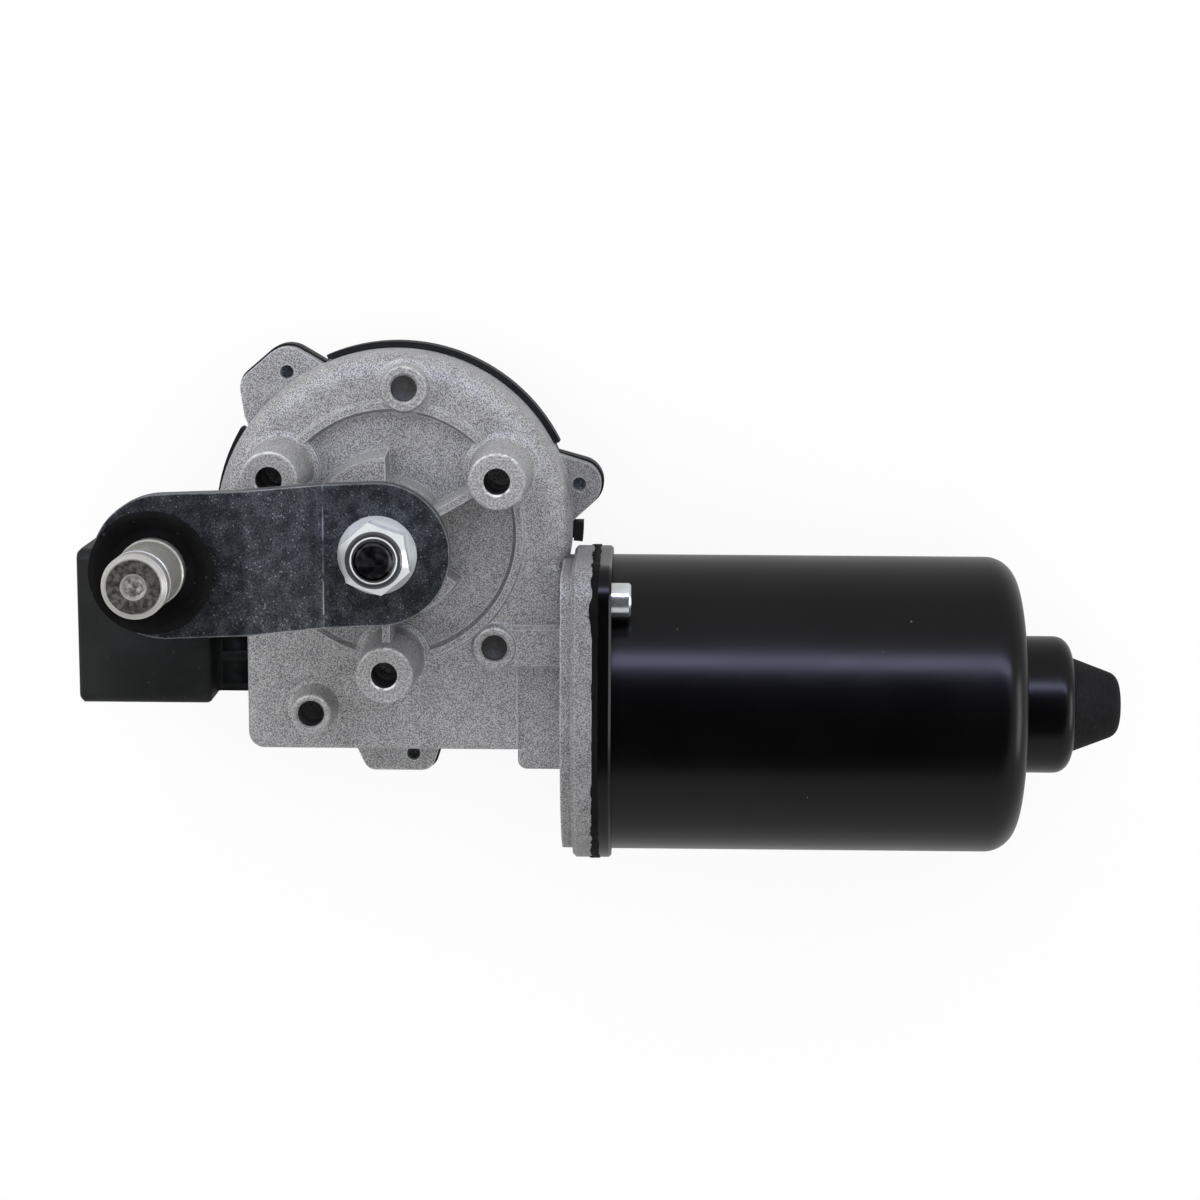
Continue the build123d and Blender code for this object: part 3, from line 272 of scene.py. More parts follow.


# Cast aluminium, darker on the flange, with machined faces, painted shade in the bores and painted
# highlights on the rims of its bosses.
# Lengths are in millimetres. A short boss has its middle, level, radius and the painted shade of its bore.
castFinish = {
    "dark": (0.13, 0.13, 0.133),
    "pale": (0.49, 0.49, 0.497),
    "bright": (0.72, 0.72, 0.73),
    "machined": (0.20, 0.20, 0.203),
    "worn": (0.52, 0.52, 0.525),
    # the colour of the painted highlight on the rims of the bosses
    "rim": (0.95, 0.95, 0.95),
    "tallBosses": [(23.383, 13.5), (-23.383, 13.5), (0.0, -27.0)],
    "tallLevel": -0.25,
    "tallRadius": 5.6,
    "tallDepth": 9.0,
    "tallShade": 0.02,
    "shortBosses": [
        ((2.9, 30.9), -17.0, 4.9, 0.11),
        ((21.8, -24.4), -17.8, 4.6, 0.04),
        ((-16.8, -37.8), -12.0, 4.3, 0.012),
    ],
    "shortSink": 0.15,
    "shortInset": 0.35,
    "shortDepth": 11.0,
    "holeRadius": 2.75,
    "mouthInward": 0.3,
    "mouthOutward": 0.5,
    "rimInward": 0.35,
    "rimOutward": 0.25,
    "soft": 0.12,
    "boreWall": 0.08,
    "boreSoft": 0.05,
    "faceShare": 0.85,
    "flangeBlend": 0.6,
    "flangeDepth": 6.5,
    "flangeShade": (0.72, 0.72, 0.72),
}


def listBosses():
    finish = castFinish
    tall = (finish["tallLevel"], finish["tallRadius"], finish["tallDepth"], finish["tallShade"])
    bosses = [(middle, *tall) for middle in finish["tallBosses"]]
    for middle, level, radius, shade in finish["shortBosses"]:
        face = (level - finish["shortSink"], radius - finish["shortInset"])
        bosses.append((middle, *face, finish["shortDepth"], shade))
    return bosses


def bossMasks(tree, place, middle, level, radius, depth):
    finish = castFinish
    hole = finish["holeRadius"]
    soft = finish["soft"]
    point = (middle[0] * mm, middle[1] * mm, level * mm)
    below = (point[0], point[1], point[2] - depth * mm)
    face = ringAt(tree, place, point, 0.0, radius, soft)["Mask"]
    mouth = ringAt(tree, place, point, hole - finish["mouthInward"], hole + finish["mouthOutward"], soft)
    edge = ringAt(tree, place, point, radius - finish["rimInward"], radius + finish["rimOutward"], soft)
    # the bore under the face, which is given painted shade
    bore = ringAt(tree, place, below, -1.0, hole + finish["boreWall"], finish["boreSoft"])["Mask"]
    # painted highlight on the lower side of the hole's mouth and the upper side of the face's outer edge
    lower = maths(tree, "MULTIPLY", mouth["Mask"], remap(tree, mouth["Side"], -0.1, -0.8))
    upper = maths(tree, "MULTIPLY", edge["Mask"], remap(tree, edge["Side"], 0.1, 1.0, 0.0, 0.5))
    rim = maths(tree, "MAXIMUM", lower, upper)
    return face, rim, maths(tree, "SUBTRACT", bore, face, clamp=True)


def makeCastAluminium():
    material, tree, shader, place = newMaterial("castAluminium", 0.25)
    grain = useGroup(tree, skinGrain, {"Vector": place, "Grain Scale": 3400.0, "Mottle Scale": 240.0})
    flecks = useGroup(tree, fineFlecks, {"Vector": place, "Scale": 2600.0, "Size": 0.30, "Share": 0.25})
    edges = useGroup(tree, paintedEdgeHighlight, {
        "Radius": 0.0007, "Start": 0.02, "End": 0.32, "Vector": place, "Break Scale": 900.0,
    })
    sand = remap(tree, grain["Grain"], 0.2, 0.8)
    tone = maths(tree, "MULTIPLY_ADD", sand, 0.85, maths(tree, "MULTIPLY", grain["Mottle"], 0.15))
    colour = mixColour(tree, tone, castFinish["dark"], castFinish["pale"])
    colour = tint(tree, colour, flecks["Fleck"], 0.35, castFinish["bright"])
    # painted highlight on the edges of the ribs and bosses
    colour = tint(tree, colour, edges["Edge"], 0.8, castFinish["bright"])
    along = addNode(tree, "ShaderNodeSeparateXYZ", {"Vector": place}).outputs["X"]
    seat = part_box("motor_gasket")[0].x - castFinish["flangeDepth"] * mm
    blend = castFinish["flangeBlend"] * mm
    flange = remap(tree, along, seat - blend, seat + blend)
    colour = mixColour(tree, flange, colour, castFinish["flangeShade"], "MULTIPLY")
    faces = None
    rims = None
    for middle, level, radius, depth, shade in listBosses():
        face, rim, inside = bossMasks(tree, place, middle, level, radius, depth)
        faces = face if faces is None else maths(tree, "MAXIMUM", faces, face)
        rims = rim if rims is None else maths(tree, "MAXIMUM", rims, rim)
        # painted shade inside each bore
        colour = tint(tree, colour, inside, castFinish["faceShare"], (shade, shade, shade))
    scuffs = noiseOf(tree, place, 2400.0, 3.0, 0.65)
    machined = mixColour(tree, remap(tree, scuffs, 0.40, 0.62), castFinish["machined"], castFinish["worn"])
    colour = tint(tree, colour, faces, castFinish["faceShare"], machined)
    # painted highlight on the boss rims, broken by noise
    broken = remap(tree, noiseOf(tree, place, 900.0, 4.0, 0.6), 0.38, 0.56, 0.1, 1.0)
    colour = mixColour(tree, maths(tree, "MULTIPLY", rims, broken), colour, castFinish["rim"])
    tree.links.new(colour, shader.inputs["Base Color"])
    rough = remap(tree, faces, 0.0, 1.0, 0.56, 0.36)
    rough = maths(tree, "MULTIPLY_ADD", grain["Mottle"], 0.06, rough)
    tree.links.new(rough, shader.inputs["Roughness"])
    height = maths(tree, "MULTIPLY", grain["Height"], remap(tree, faces, 0.0, 1.0, 1.0, 0.25))
    bump(tree, shader, height, 0.55, 0.00012)
    return material


def makeBlackEnamel():
    material, tree, shader, place = newMaterial("blackEnamel", 0.0, 0.28)
    flecks = useGroup(tree, fineFlecks, {"Vector": place, "Scale": 330.0, "Size": 0.07, "Share": 0.05})
    peel = useGroup(tree, skinGrain, {"Vector": place, "Grain Scale": 1500.0, "Mottle Scale": 40.0})
    colour = mixColour(tree, peel["Mottle"], (0.0006, 0.0006, 0.0007), (0.0012, 0.0012, 0.0013))
    colour = tint(tree, colour, flecks["Fleck"], 0.5, (0.22, 0.21, 0.20))
    tree.links.new(colour, shader.inputs["Base Color"])
    tree.links.new(remap(tree, peel["Mottle"], 0.0, 1.0, 0.24, 0.27), shader.inputs["Roughness"])
    bump(tree, shader, peel["Grain"], 0.06, 0.00002)
    return material


# Zinc plate, with a painted highlight along the bend and painted shade in a band beside it
zincFinish = {
    "dark": (0.026, 0.032, 0.038),
    "pale": (0.044, 0.052, 0.058),
    "grain": (0.190, 0.205, 0.212),
    "fleck": (0.62, 0.66, 0.68),
    "edge": (0.85, 0.86, 0.87),
    "bendLine": -10.9,
    "bendWidth": 0.22,
    "shade": (0.03, 0.035, 0.04),
    "shadeMiddle": -12.8,
    "shadeWidth": 1.3,
}


def makeZincPlate():
    material, tree, shader, place = newMaterial("zincPlate", 0.92)
    finish = zincFinish
    clouds = useGroup(tree, skinGrain, {"Vector": place, "Grain Scale": 2900.0, "Mottle Scale": 330.0})
    flecks = useGroup(tree, fineFlecks, {"Vector": place, "Scale": 2400.0, "Size": 0.36, "Share": 0.16})
    edges = useGroup(tree, paintedEdgeHighlight, {
        "Radius": 0.0005, "Start": 0.02, "End": 0.16, "Vector": place, "Break Scale": 900.0,
    })
    lines = useGroup(tree, drawnLines, {"Vector": place, "Stretch": (2600.0, 60.0, 60.0)})
    colour = mixColour(tree, clouds["Mottle"], finish["dark"], finish["pale"])
    sparkle = maths(tree, "MULTIPLY", clouds["Grain"], remap(tree, clouds["Mottle"], 0.0, 1.0, 0.58, 1.0))
    colour = mixColour(tree, sparkle, colour, finish["grain"])
    colour = tint(tree, colour, lines["Lines"], 0.10, finish["grain"])
    colour = tint(tree, colour, flecks["Fleck"], 0.8, finish["fleck"])
    along = addNode(tree, "ShaderNodeSeparateXYZ", {"Vector": place}).outputs["X"]
    # painted shade in a band beside the bend
    fromShade = maths(tree, "ABSOLUTE", maths(tree, "SUBTRACT", along, finish["shadeMiddle"] * mm))
    shade = remap(tree, fromShade, 0.0, finish["shadeWidth"] * mm, 0.45, 0.0)
    colour = mixColour(tree, shade, colour, finish["shade"])
    # painted highlight along the bend, broken by noise
    fromLine = maths(tree, "ABSOLUTE", maths(tree, "SUBTRACT", along, finish["bendLine"] * mm))
    broken = remap(tree, noiseOf(tree, place, 260.0, 3.0), 0.35, 0.6)
    line = maths(tree, "MULTIPLY", remap(tree, fromLine, 0.0, finish["bendWidth"] * mm, 0.7, 0.0), broken)
    colour = mixColour(tree, line, colour, finish["edge"])
    # painted highlight on the edges
    colour = mixColour(tree, edges["Edge"], colour, finish["edge"])
    tree.links.new(colour, shader.inputs["Base Color"])
    rough = remap(tree, clouds["Mottle"], 0.0, 1.0, 0.36, 0.46)
    tree.links.new(rough, shader.inputs["Roughness"])
    bump(tree, shader, maths(tree, "ADD", clouds["Grain"], flecks["Fleck"]), 0.2, 0.00004)
    return material


# Bright zinc, with painted shade on the land and a painted highlight on the mouth of the nut's crown, in
# millimetres
brightFinish = {
    "dark": (0.76, 0.81, 0.83),
    "pale": (0.90, 0.93, 0.94),
    "edge": (0.92, 0.93, 0.94),
    "land": (0.02, 0.022, 0.03),
    "mouth": (0.90, 0.92, 0.93),
    "crownDepth": 0.5,
    "landRadii": (4.75, 5.8),
    "mouthRadii": (4.4, 4.72),
    "soft": 0.06,
}


def makeBrightZinc(name, metallic):
    finish = brightFinish
    material, tree, shader, place = newMaterial(name, metallic)
    clouds = useGroup(tree, skinGrain, {"Vector": place, "Grain Scale": 1500.0, "Mottle Scale": 180.0})
    edges = useGroup(tree, paintedEdgeHighlight, {
        "Radius": 0.0003, "Start": 0.05, "End": 0.35, "Vector": place, "Break Scale": 600.0,
    })
    colour = mixColour(tree, clouds["Mottle"], finish["dark"], finish["pale"])
    # painted highlight on the edges
    colour = tint(tree, colour, edges["Edge"], 0.6, finish["edge"])
    crown = (0.0, 0.0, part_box("crank_nut")[1].z - finish["crownDepth"] * mm)
    land = ringAt(tree, place, crown, *finish["landRadii"], finish["soft"])["Mask"]
    mouth = ringAt(tree, place, crown, *finish["mouthRadii"], finish["soft"])["Mask"]
    # painted shade on the land of the crown, then a painted highlight on its mouth
    colour = tint(tree, colour, land, 0.9, finish["land"])
    colour = mixColour(tree, mouth, colour, finish["mouth"])
    tree.links.new(colour, shader.inputs["Base Color"])
    tree.links.new(remap(tree, mouth, 0.0, 1.0, metallic, 0.1), shader.inputs["Metallic"])
    tree.links.new(remap(tree, clouds["Grain"], 0.0, 1.0, 0.16, 0.27), shader.inputs["Roughness"])
    bump(tree, shader, clouds["Height"], 0.10, 0.00004)
    return material


# Drive pin: satin sides, a dark ground end face and a bright dimple
pinFinish = {
    "sides": ((0.43, 0.425, 0.40), (0.56, 0.55, 0.52)),
    "endDark": ((0.006, 0.0055, 0.004), (0.11, 0.105, 0.09)),
    "spots": ((0.16, 0.15, 0.14), (0.72, 0.71, 0.68)),
    "rimRadius": 5.35,
    "dimpleRim": 2.5,
    "dimpleFloor": 2.2,
    "endDepth": 0.1,
    "dimpleDepth": 3,
    "soft": 0.15,
}


def makePolishedSteel():
    finish = pinFinish
    material, tree, shader, place = newMaterial("polishedSteel", 0.6)
    lines = useGroup(tree, drawnLines, {"Vector": place, "Stretch": (90.0, 90.0, 5200.0)})
    clouds = useGroup(tree, skinGrain, {"Vector": place, "Grain Scale": 1500.0, "Mottle Scale": 1000.0})
    colour = mixColour(tree, lines["Lines"], *finish["sides"])
    low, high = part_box("crank_pin")
    middle = (low + high) / 2
    end = (middle.x, middle.y, high.z - finish["endDepth"] * mm)
    under = (middle.x, middle.y, high.z - finish["dimpleDepth"] * mm)
    annulus = ringAt(tree, place, end, finish["dimpleRim"], finish["rimRadius"], finish["soft"])["Mask"]
    floor = ringAt(tree, place, under, -1, finish["dimpleFloor"], finish["soft"])["Mask"]
    endDarkened = mixColour(tree, clouds["Mottle"], *finish["endDark"])
    colour = tint(tree, colour, annulus, 0.95, endDarkened)
    spotted = mixColour(tree, clouds["Mottle"], *finish["spots"])
    colour = mixColour(tree, floor, colour, spotted)
    tree.links.new(colour, shader.inputs["Base Color"])
    rough = remap(tree, clouds["Mottle"], 0.0, 1.0, 0.30, 0.40)
    tree.links.new(maths(tree, "MULTIPLY_ADD", annulus, 0.2, rough), shader.inputs["Roughness"])
    bump(tree, shader, lines["Lines"], 0.08, 0.00003)
    return material


def makeDarkSteel():
    material, tree, shader, place = newMaterial("darkSteel", 1.0)
    lines = useGroup(tree, drawnLines, {"Vector": place, "Stretch": (700.0, 700.0, 700.0)})
    edges = useGroup(tree, paintedEdgeHighlight, {
        "Radius": 0.0002, "Start": 0.05, "End": 0.4, "Vector": place, "Break Scale": 900.0,
    })
    colour = mixColour(tree, lines["Lines"], (0.030, 0.029, 0.030), (0.085, 0.082, 0.083))
    # painted highlight on the edges
    colour = tint(tree, colour, edges["Edge"], 0.5, (0.30, 0.30, 0.30))
    tree.links.new(colour, shader.inputs["Base Color"])
    tree.links.new(remap(tree, lines["Lines"], 0.0, 1.0, 0.30, 0.46), shader.inputs["Roughness"])
    bump(tree, shader, lines["Lines"], 0.25, 0.00004)
    return material


def makeBlackPlastic():
    material, tree, shader, place = newMaterial("blackPlastic", 0.0, 0.23)
    skin = useGroup(tree, skinGrain, {"Vector": place, "Grain Scale": 2600.0, "Mottle Scale": 90.0})
    flecks = useGroup(tree, fineFlecks, {"Vector": place, "Scale": 900.0, "Size": 0.16, "Share": 0.10})
    edges = useGroup(tree, paintedEdgeHighlight, {
        "Radius": 0.0003, "Start": 0.05, "End": 0.4, "Vector": place, "Break Scale": 300.0,
    })
    colour = mixColour(tree, skin["Mottle"], (0.0060, 0.0066, 0.0066), (0.0100, 0.0108, 0.0109))
    colour = tint(tree, colour, flecks["Fleck"], 0.3, (0.12, 0.12, 0.12))
    # painted highlight on the edges
    colour = tint(tree, colour, edges["Edge"], 0.35, (0.10, 0.105, 0.11))
    tree.links.new(colour, shader.inputs["Base Color"])
    tree.links.new(remap(tree, skin["Grain"], 0.0, 1.0, 0.42, 0.58), shader.inputs["Roughness"])
    bump(tree, shader, skin["Height"], 0.2, 0.00005)
    return material


def makeBlackRubber(name, specular):
    material, tree, shader, place = newMaterial(name, 0.0, specular)
    skin = useGroup(tree, skinGrain, {"Vector": place, "Grain Scale": 1700.0, "Mottle Scale": 130.0})
    dust = useGroup(tree, fineFlecks, {"Vector": place, "Scale": 700.0, "Size": 0.2, "Share": 0.12})
    colour = mixColour(tree, skin["Mottle"], (0.0028, 0.0028, 0.0029), (0.0060, 0.0060, 0.0061))
    colour = tint(tree, colour, dust["Fleck"], 0.25, (0.12, 0.11, 0.10))
    tree.links.new(colour, shader.inputs["Base Color"])
    tree.links.new(remap(tree, skin["Grain"], 0.0, 1.0, 0.62, 0.78), shader.inputs["Roughness"])
    bump(tree, shader, skin["Height"], 0.3, 0.00006)
    return material


# The inner finishes share one build, each with its own values
innerFinishes = {
    "tinnedBrass": {
        "metal": 1.0, "dark": (0.56, 0.53, 0.44), "pale": (0.76, 0.73, 0.64),
        "rough": (0.22, 0.36), "stretch": (90.0, 1800.0, 1800.0),
    },
    "copper": {
        "metal": 0.9, "dark": (0.42, 0.16, 0.07), "pale": (0.70, 0.34, 0.18),
        "rough": (0.26, 0.42), "stretch": (120.0, 3600.0, 3600.0),
    },
    "laminationSteel": {
        "metal": 0.9, "dark": (0.14, 0.14, 0.15), "pale": (0.30, 0.30, 0.32),
        "rough": (0.38, 0.55), "stretch": (6200.0, 30.0, 30.0),
    },
    "ferrite": {
        "metal": 0.0, "dark": (0.035, 0.035, 0.038), "pale": (0.075, 0.075, 0.080),
        "rough": (0.62, 0.80), "stretch": (800.0, 800.0, 800.0),
    },
    "carbon": {
        "metal": 0.0, "dark": (0.020, 0.020, 0.022), "pale": (0.055, 0.055, 0.060),
        "rough": (0.50, 0.70), "stretch": (900.0, 900.0, 900.0),
    },
    "sinteredBronze": {
        "metal": 0.85, "dark": (0.32, 0.21, 0.10), "pale": (0.56, 0.41, 0.23),
        "rough": (0.40, 0.58), "stretch": (1500.0, 1500.0, 1500.0),
    },
    "wheelPlastic": {
        "metal": 0.0, "dark": (0.66, 0.63, 0.53), "pale": (0.76, 0.74, 0.65),
        "rough": (0.32, 0.45), "stretch": (200.0, 200.0, 200.0),
    },
}


def makeInnerFinish(name):
    finish = innerFinishes[name]
    material, tree, shader, place = newMaterial(name, finish["metal"])
    lines = useGroup(tree, drawnLines, {"Vector": place, "Stretch": finish["stretch"]})
    skin = useGroup(tree, skinGrain, {"Vector": place, "Grain Scale": 1500.0, "Mottle Scale": 200.0})
    tone = maths(tree, "MULTIPLY_ADD", lines["Lines"], 0.6, maths(tree, "MULTIPLY", skin["Mottle"], 0.4))
    tree.links.new(mixColour(tree, tone, finish["dark"], finish["pale"]), shader.inputs["Base Color"])
    tree.links.new(remap(tree, skin["Grain"], 0.0, 1.0, *finish["rough"]), shader.inputs["Roughness"])
    bump(tree, shader, lines["Lines"], 0.2, 0.00005)
    return material


finishes = {
    "cast_aluminium": makeCastAluminium(),
    "black_enamel": makeBlackEnamel(),
    "zinc_plate": makeZincPlate(),
    "bright_zinc": makeBrightZinc("brightZinc", 0.66),
    "polished_steel": makePolishedSteel(),
    "dark_steel": makeDarkSteel(),
    "black_plastic": makeBlackPlastic(),
    "black_rubber": makeBlackRubber("blackRubber", 0.08),
    "tinned_brass": makeInnerFinish("tinnedBrass"),
    "copper": makeInnerFinish("copper"),
    "lamination_steel": makeInnerFinish("laminationSteel"),
    "ferrite": makeInnerFinish("ferrite"),
    "carbon": makeInnerFinish("carbon"),
    "sintered_bronze": makeInnerFinish("sinteredBronze"),
    "wheel_plastic": makeInnerFinish("wheelPlastic"),
}
slotOf = {}
for entry in frame["record"]["subparts"]:
    slotOf[entry["node"]] = entry["material_slot"]
for name, node in nodes.items():
    node.data.materials.clear()
    node.data.materials.append(finishes[slotOf[name]])

# The cap on the nose is a glossier rubber, and the can's screws are brighter than the cover's
nodes["rear_cap"].data.materials[0] = makeBlackRubber("capRubber", 0.22)
screwZinc = makeBrightZinc("screwZinc", 0.93)
for name in ("can_screw_1", "can_screw_2"):
    nodes[name].data.materials[0] = screwZinc
print("materials:", len(finishes))


# Pieces made here, each riding on a body of the frame

def finishPiece(mesh, name, slotName, body):
    data = bpy.data.meshes.new(name)
    bmesh.ops.recalc_face_normals(mesh, faces=mesh.faces)
    mesh.to_mesh(data)
    mesh.free()
    piece = bpy.data.objects.new(name, data)
    scene.collection.objects.link(piece)
    data.materials.append(finishes[slotName])
    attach(piece, body)
    return piece


def mergedCopy(name):
    mesh = bmesh.new()
    mesh.from_mesh(nodes[name].data)
    bmesh.ops.remove_doubles(mesh, verts=mesh.verts, dist=0.002 * mm)
    bmesh.ops.dissolve_limit(mesh, angle_limit=math.radians(0.5), verts=mesh.verts, edges=mesh.edges)
    return mesh


def sharpEdges(mesh, angle):
    joined = [edge for edge in mesh.edges if len(edge.link_faces) == 2]
    return [edge for edge in joined if edge.calc_face_angle() > math.radians(angle)]


def smoothSides(piece, angle=35.0):
    for face in piece.data.polygons:
        face.use_smooth = True
    piece.data.set_sharp_from_angle(angle=math.radians(angle))


# Rubber cup round the drive pin, in millimetres from the middle of its foot
cupShape = {
    "pinRadius": 6.73,
    "taper": 2.6,
    "wall": 1.3,
    "floor": 1.6,
    "lip": 0.7,
    "lipStep": 0.05,
    "steps": 96,
    "round": 0.3,
    "roundFrom": 7.2,
}


def makeRubberCup():
    low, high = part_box("pin_seal")
    centre = (low + high) / 2
    shape = cupShape
    outer = (high.x - low.x) / 2 / mm
    height = (high.z - low.z) / mm
    foot = outer - shape["taper"]
    outline = [
        (shape["pinRadius"], 0),
        (foot, 0),
        (outer - shape["lipStep"], height - shape["lip"]),
        (outer, height),
        (outer - shape["wall"], height),
        (foot - shape["wall"], shape["floor"]),
        (shape["pinRadius"], shape["floor"]),
    ]
    mesh = bmesh.new()
    places = [(centre.x + radius * mm, centre.y, low.z + level * mm) for radius, level in outline]
    verts = [mesh.verts.new(place) for place in places]
    edges = [mesh.edges.new((verts[i], verts[(i + 1) % len(verts)])) for i in range(len(verts))]
    bmesh.ops.spin(
        mesh, geom=verts + edges, cent=(centre.x, centre.y, 0), axis=(0, 0, 1),
        angle=math.tau, steps=shape["steps"], use_merge=True, use_duplicate=False,
    )
    bmesh.ops.remove_doubles(mesh, verts=mesh.verts, dist=0.001 * mm)

    def nearest(edge):
        return min((vert.co.xy - centre.xy).length for vert in edge.verts)

    rims = [edge for edge in sharpEdges(mesh, 40) if nearest(edge) > shape["roundFrom"] * mm]
    bmesh.ops.bevel(
        mesh, geom=rims, offset=shape["round"] * mm, affect="EDGES", segments=3, profile=0.5, material=-1,
    )
    cup = finishPiece(mesh, "rubberCup", "black_rubber", "output_drive")
    smoothSides(cup, 50.0)
    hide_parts("pin_seal")


# Gasket between the casting and the can, squeezed out unevenly over both edges
gasketShape = {
    "rimFrom": 32.8,
    "longest": 0.45,
    "passes": 5,
    "sink": 0.12,
    "crumb": 0.55,
    "crumbScale": 620.0,
    "lump": 0.9,
    "lumpBias": 0.1,
    "lumpScale": 240.0,
    "lumpFrom": 14.0,
    "lumpTo": 27.0,
    "canSide": 0.45,
    "canSideShift": 50.0,
    "screwClear": 4.2,
}


def makeGasketSheet():
    shape = gasketShape
    mesh = mergedCopy("motor_gasket")
    low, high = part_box("motor_can")
    axis = (low + high) / 2
    sheetLow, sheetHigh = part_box("motor_gasket")
    middle = (sheetLow.x + sheetHigh.x) / 2
    screws = [sum(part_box(name), Vector()) / 2 for name in ("can_screw_1", "can_screw_2")]

    def onRim(vert):
        if min((vert.co - screw).yz.length for screw in screws) < shape["screwClear"] * mm:
            return False
        return (vert.co - axis).yz.length > shape["rimFrom"] * mm

    for turn in range(shape["passes"]):
        rim = [edge for edge in mesh.edges if all(onRim(vert) for vert in edge.verts)]
        rim = [edge for edge in rim if edge.calc_length() > shape["longest"] * mm]
        if rim:
            bmesh.ops.subdivide_edges(mesh, edges=rim, cuts=1)
    bead = [vert for vert in mesh.verts if onRim(vert)]
    for vert in bead:
        onCanSide = vert.co.x > middle
        place = vert.co + Vector((shape["canSideShift"] * mm, 0, 0)) * onCanSide
        wave = noise.noise(place * shape["lumpScale"])
        crumb = max(0.0, noise.noise(place * shape["crumbScale"])) * shape["crumb"]
        lump = max(0.0, shape["lumpBias"] + wave) * shape["lump"]
        away = abs(vert.co.y - axis.y) / mm - shape["lumpFrom"]
        ends = away / (shape["lumpTo"] - shape["lumpFrom"])
        spread = crumb + lump * max(0.0, min(1.0, ends))
        inward = axis - vert.co
        inward.x = 0
        vert.co += inward.normalized() * abs(wave) * shape["sink"] * mm
        vert.co.x += spread * (shape["canSide"] if onCanSide else -1) * mm
    bmesh.ops.triangulate(mesh, faces=mesh.faces)
    sheet = finishPiece(mesh, "gasketSheet", "black_rubber", "housing")
    smoothSides(sheet, 60.0)
    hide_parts("motor_gasket")


# Connector body with the rounded rims of a moulding at its mouth and its shoulder
connectorShape = {"round": 1.2, "segments": 4, "corner": 2.5, "near": 0.15}


def makeConnectorBody():
    shape = connectorShape
    mesh = mergedCopy("connector_housing")
    low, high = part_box("connector_housing")
    middle = (low + high) / 2
    corner = shape["corner"] * mm
    near = shape["near"] * mm
    shoulder = max(vert.co.x for vert in mesh.verts if vert.co.y < low.y + near)

    def fromOutline(vert):
        across = abs(vert.co.y - middle.y) - (high.y - middle.y - corner)
        up = abs(vert.co.z - middle.z) - (high.z - middle.z - corner)
        if across > 0 and up > 0:
            return abs(math.hypot(across, up) - corner)
        return abs(max(across, up) - corner)

    def onRim(edge, end):
        return all(abs(vert.co.x - end) < near and fromOutline(vert) < near for vert in edge.verts)

    rims = [edge for edge in sharpEdges(mesh, 60) if onRim(edge, low.x) or onRim(edge, shoulder)]
    bmesh.ops.bevel(
        mesh, geom=rims, offset=shape["round"] * mm, affect="EDGES", segments=shape["segments"],
        profile=0.5, material=-1, clamp_overlap=True,
    )
    bmesh.ops.triangulate(mesh, faces=[face for face in mesh.faces if len(face.verts) > 4])
    body = finishPiece(mesh, "connectorBody", "black_plastic", "housing")
    smoothSides(body, 35.0)
    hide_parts("connector_housing")


# Seal between the casting and its cover, with its corners rounded off
sealShape = {"round": 0.12, "segments": 2}


def makeJointSeal():
    shape = sealShape
    mesh = mergedCopy("cover_seal")
    bmesh.ops.bevel(
        mesh, geom=sharpEdges(mesh, 60), offset=shape["round"] * mm, affect="EDGES",
        segments=shape["segments"], profile=0.5, material=-1,
    )
    seal = finishPiece(mesh, "jointSeal", "black_rubber", "housing")
    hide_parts("cover_seal")


# Thread at the end of the output shaft
threadShape = {
    "radius": 3.98,
    "crest": 4.28,
    "crestHalf": 0.1,
    "pitch": 1.25,
    "rootShare": 0.32,
    "riseShare": 0.4,
    "start": 20.15,
    "turns": 0.9,
    "steps": 54,
}


def makeShaftThread():
    shape = threadShape
    mesh = bmesh.new()
    half = shape["pitch"] * shape["rootShare"]
    points = [
        (shape["radius"], -half),
        (shape["crest"], -shape["crestHalf"]),
        (shape["crest"], shape["crestHalf"]),
        (shape["radius"], half),
    ]
    verts = [mesh.verts.new((radius * mm, 0, (shape["start"] + level) * mm)) for radius, level in points]
    face = mesh.faces.new(verts)
    rise = shape["pitch"] * shape["turns"] * shape["riseShare"] * mm / shape["steps"]
    bmesh.ops.spin(
        mesh, geom=[face], cent=(0, 0, 0), axis=(0, 0, 1), dvec=(0, 0, rise),
        angle=math.tau * shape["turns"], steps=shape["steps"], use_duplicate=False,
    )
    thread = finishPiece(mesh, "shaftThread", "dark_steel", "output_drive")
    smoothSides(thread)


makeRubberCup()
makeGasketSheet()
makeConnectorBody()
makeJointSeal()
makeShaftThread()


# Floor, light and camera

studio = {
    "floorGap": 0.0005,
    "floorSize": 6.0,
    "floorShift": 0.04,
    "floorRough": 0.9,
    "floorDark": (0.90, 0.90, 0.90),
    "floorPale": (0.93, 0.93, 0.93),
    "cloudScale": 3.0,
    "floorGlow": 0.9,
    "floorMirrored": 0.56,
    "skyLow": (0.62, 0.62, 0.625),
    "skyHigh": (0.03, 0.03, 0.032),
    "skyFrom": 0.60,
    "skyTo": 0.80,
    "backdrop": (0.97, 0.97, 0.97),
}


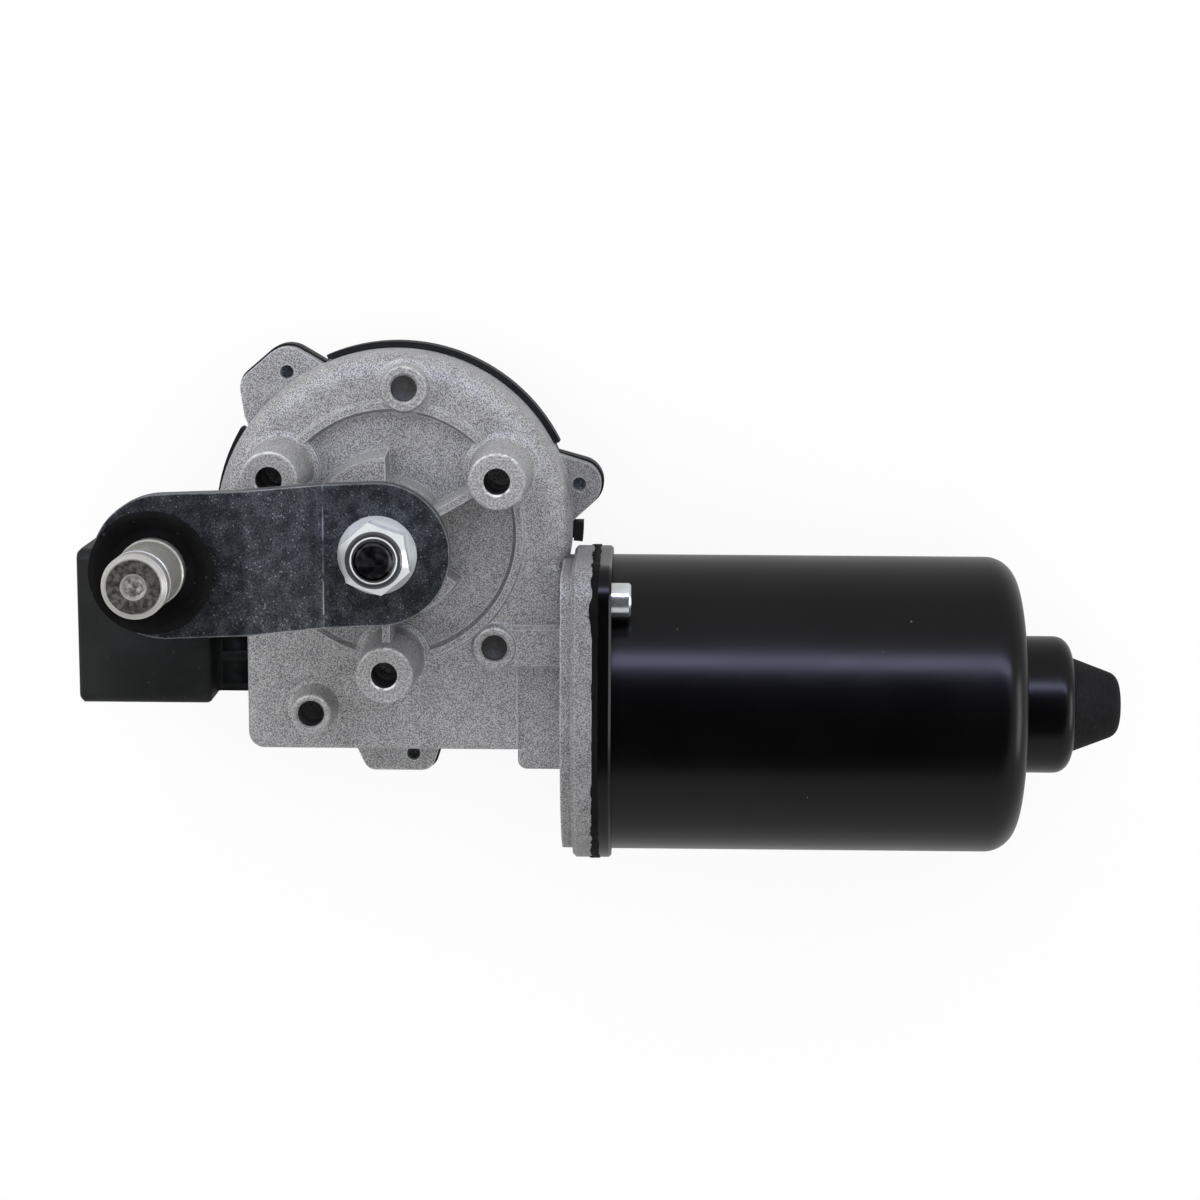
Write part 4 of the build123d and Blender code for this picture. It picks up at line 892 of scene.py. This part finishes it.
def makeFloor():
    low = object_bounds()[0]
    mesh = bmesh.new()
    bmesh.ops.create_grid(mesh, x_segments=1, y_segments=1, size=studio["floorSize"] / 2)
    bmesh.ops.translate(mesh, verts=mesh.verts, vec=(studio["floorShift"], 0, low[2] - studio["floorGap"]))
    data = bpy.data.meshes.new("studioFloor")
    mesh.to_mesh(data)
    mesh.free()
    floor = bpy.data.objects.new("studioFloor", data)
    scene.collection.objects.link(floor)
    material, tree, shader, place = newMaterial("floorPaint", 0.0)
    shader.inputs["Roughness"].default_value = studio["floorRough"]
    cloud = noiseOf(tree, place, studio["cloudScale"])
    shade = mixColour(tree, cloud, studio["floorDark"], studio["floorPale"])
    tree.links.new(shade, shader.inputs["Base Color"])
    path = tree.nodes.new("ShaderNodeLightPath")
    seen = maths(tree, "MAXIMUM", path.outputs["Is Camera Ray"], path.outputs["Is Transmission Ray"])
    direct = maths(tree, "MULTIPLY", seen, studio["floorGlow"])
    mirrored = path.outputs["Is Glossy Ray"]
    strength = remap(tree, mirrored, 0.0, 1.0, 1.0, studio["floorMirrored"])
    glow = addNode(tree, "ShaderNodeEmission", {"Color": (1, 1, 1, 1), "Strength": strength})
    mix = addNode(tree, "ShaderNodeMixShader", {
        0: maths(tree, "MAXIMUM", direct, mirrored), 1: shader.outputs[0], 2: glow.outputs[0],
    })
    tree.links.new(mix.outputs[0], tree.nodes["Material Output"].inputs["Surface"])
    data.materials.append(material)


# Each lamp is a soft rectangle aimed at the object, and may be left out of mirrored or diffuse light
lamps = {
    "stripAbove": {
        "place": (0.06, 0.49, 0.56), "size": (1.6, 0.12), "power": 6.0,
        "colour": (0.62, 0.66, 1.0), "mirrored": True, "diffuse": False,
    },
    "backWall": {
        "place": (0.0, 0.85, 0.42), "size": (2.2, 0.62), "power": 7.5,
        "colour": (1.0, 1.0, 0.99), "mirrored": False, "diffuse": True,
    },
    "overhead": {
        "place": (0.08, 0.05, 0.95), "size": (0.9, 0.9), "power": 5.4,
        "colour": (1.0, 1.0, 1.0), "mirrored": False, "diffuse": True,
    },
    "leftWindow": {
        "place": (-0.85, 0.30, 0.60), "size": (0.7, 0.7), "power": 3.0,
        "colour": (1.0, 0.995, 0.98), "mirrored": True, "diffuse": True,
    },
    "rightFill": {
        "place": (1.10, -0.10, 0.16), "size": (0.6, 0.3), "power": 2.0,
        "colour": (0.97, 0.98, 1.0), "mirrored": True, "diffuse": True,
    },
    "frontFill": {
        "place": (0.0, -0.95, 0.50), "size": (0.9, 0.3), "power": 2.0,
        "colour": (1.0, 1.0, 1.0), "mirrored": False, "diffuse": True,
    },
}
lampAim = Vector((0.03, -0.02, -0.02))


def makeLamps():
    for name, lamp in lamps.items():
        data = bpy.data.lights.new(name, "AREA")
        data.shape = "RECTANGLE"
        data.size, data.size_y = lamp["size"]
        data.energy = lamp["power"]
        data.color = lamp["colour"]
        light = bpy.data.objects.new(name, data)
        light.visible_glossy = lamp["mirrored"]
        light.visible_diffuse = lamp["diffuse"]
        light.location = lamp["place"]
        towards = lampAim - Vector(lamp["place"])
        light.rotation_euler = towards.to_track_quat("-Z", "Y").to_euler()
        scene.collection.objects.link(light)


# A dome for mirrored and diffuse rays, and a white backdrop that only the camera sees
def makeSky():
    world = bpy.data.worlds.new("studioWorld")
    world.use_nodes = True
    tree = world.node_tree
    direction = tree.nodes.new("ShaderNodeTexCoord").outputs["Generated"]
    height = addNode(tree, "ShaderNodeSeparateXYZ", {"Vector": direction}).outputs["Z"]
    rising = remap(tree, height, studio["skyFrom"], studio["skyTo"])
    dome = mixColour(tree, rising, studio["skyLow"], studio["skyHigh"])
    seen = tree.nodes.new("ShaderNodeLightPath").outputs["Is Camera Ray"]
    dome = mixColour(tree, seen, dome, studio["backdrop"])
    tree.links.new(dome, tree.nodes["Background"].inputs["Color"])
    scene.world = world


# Camera fitted to the photograph
cameraFit = {
    "place": (0.05422, 0.08219, 0.56249),
    "turn": (-9.3826, 1.0234, 0.2796),
    "lens": 83.16,
    "sensor": 36.0,
    "clipStart": 0.01,
}


def makeCamera():
    data = bpy.data.cameras.new("photoCamera")
    data.sensor_width = cameraFit["sensor"]
    data.lens = cameraFit["lens"]
    data.clip_start = cameraFit["clipStart"]
    camera = bpy.data.objects.new("photoCamera", data)
    camera.location = cameraFit["place"]
    camera.rotation_euler = [math.radians(angle) for angle in cameraFit["turn"]]
    scene.collection.objects.link(camera)
    scene.camera = camera


makeFloor()
makeLamps()
makeSky()
makeCamera()
print("studio ready")
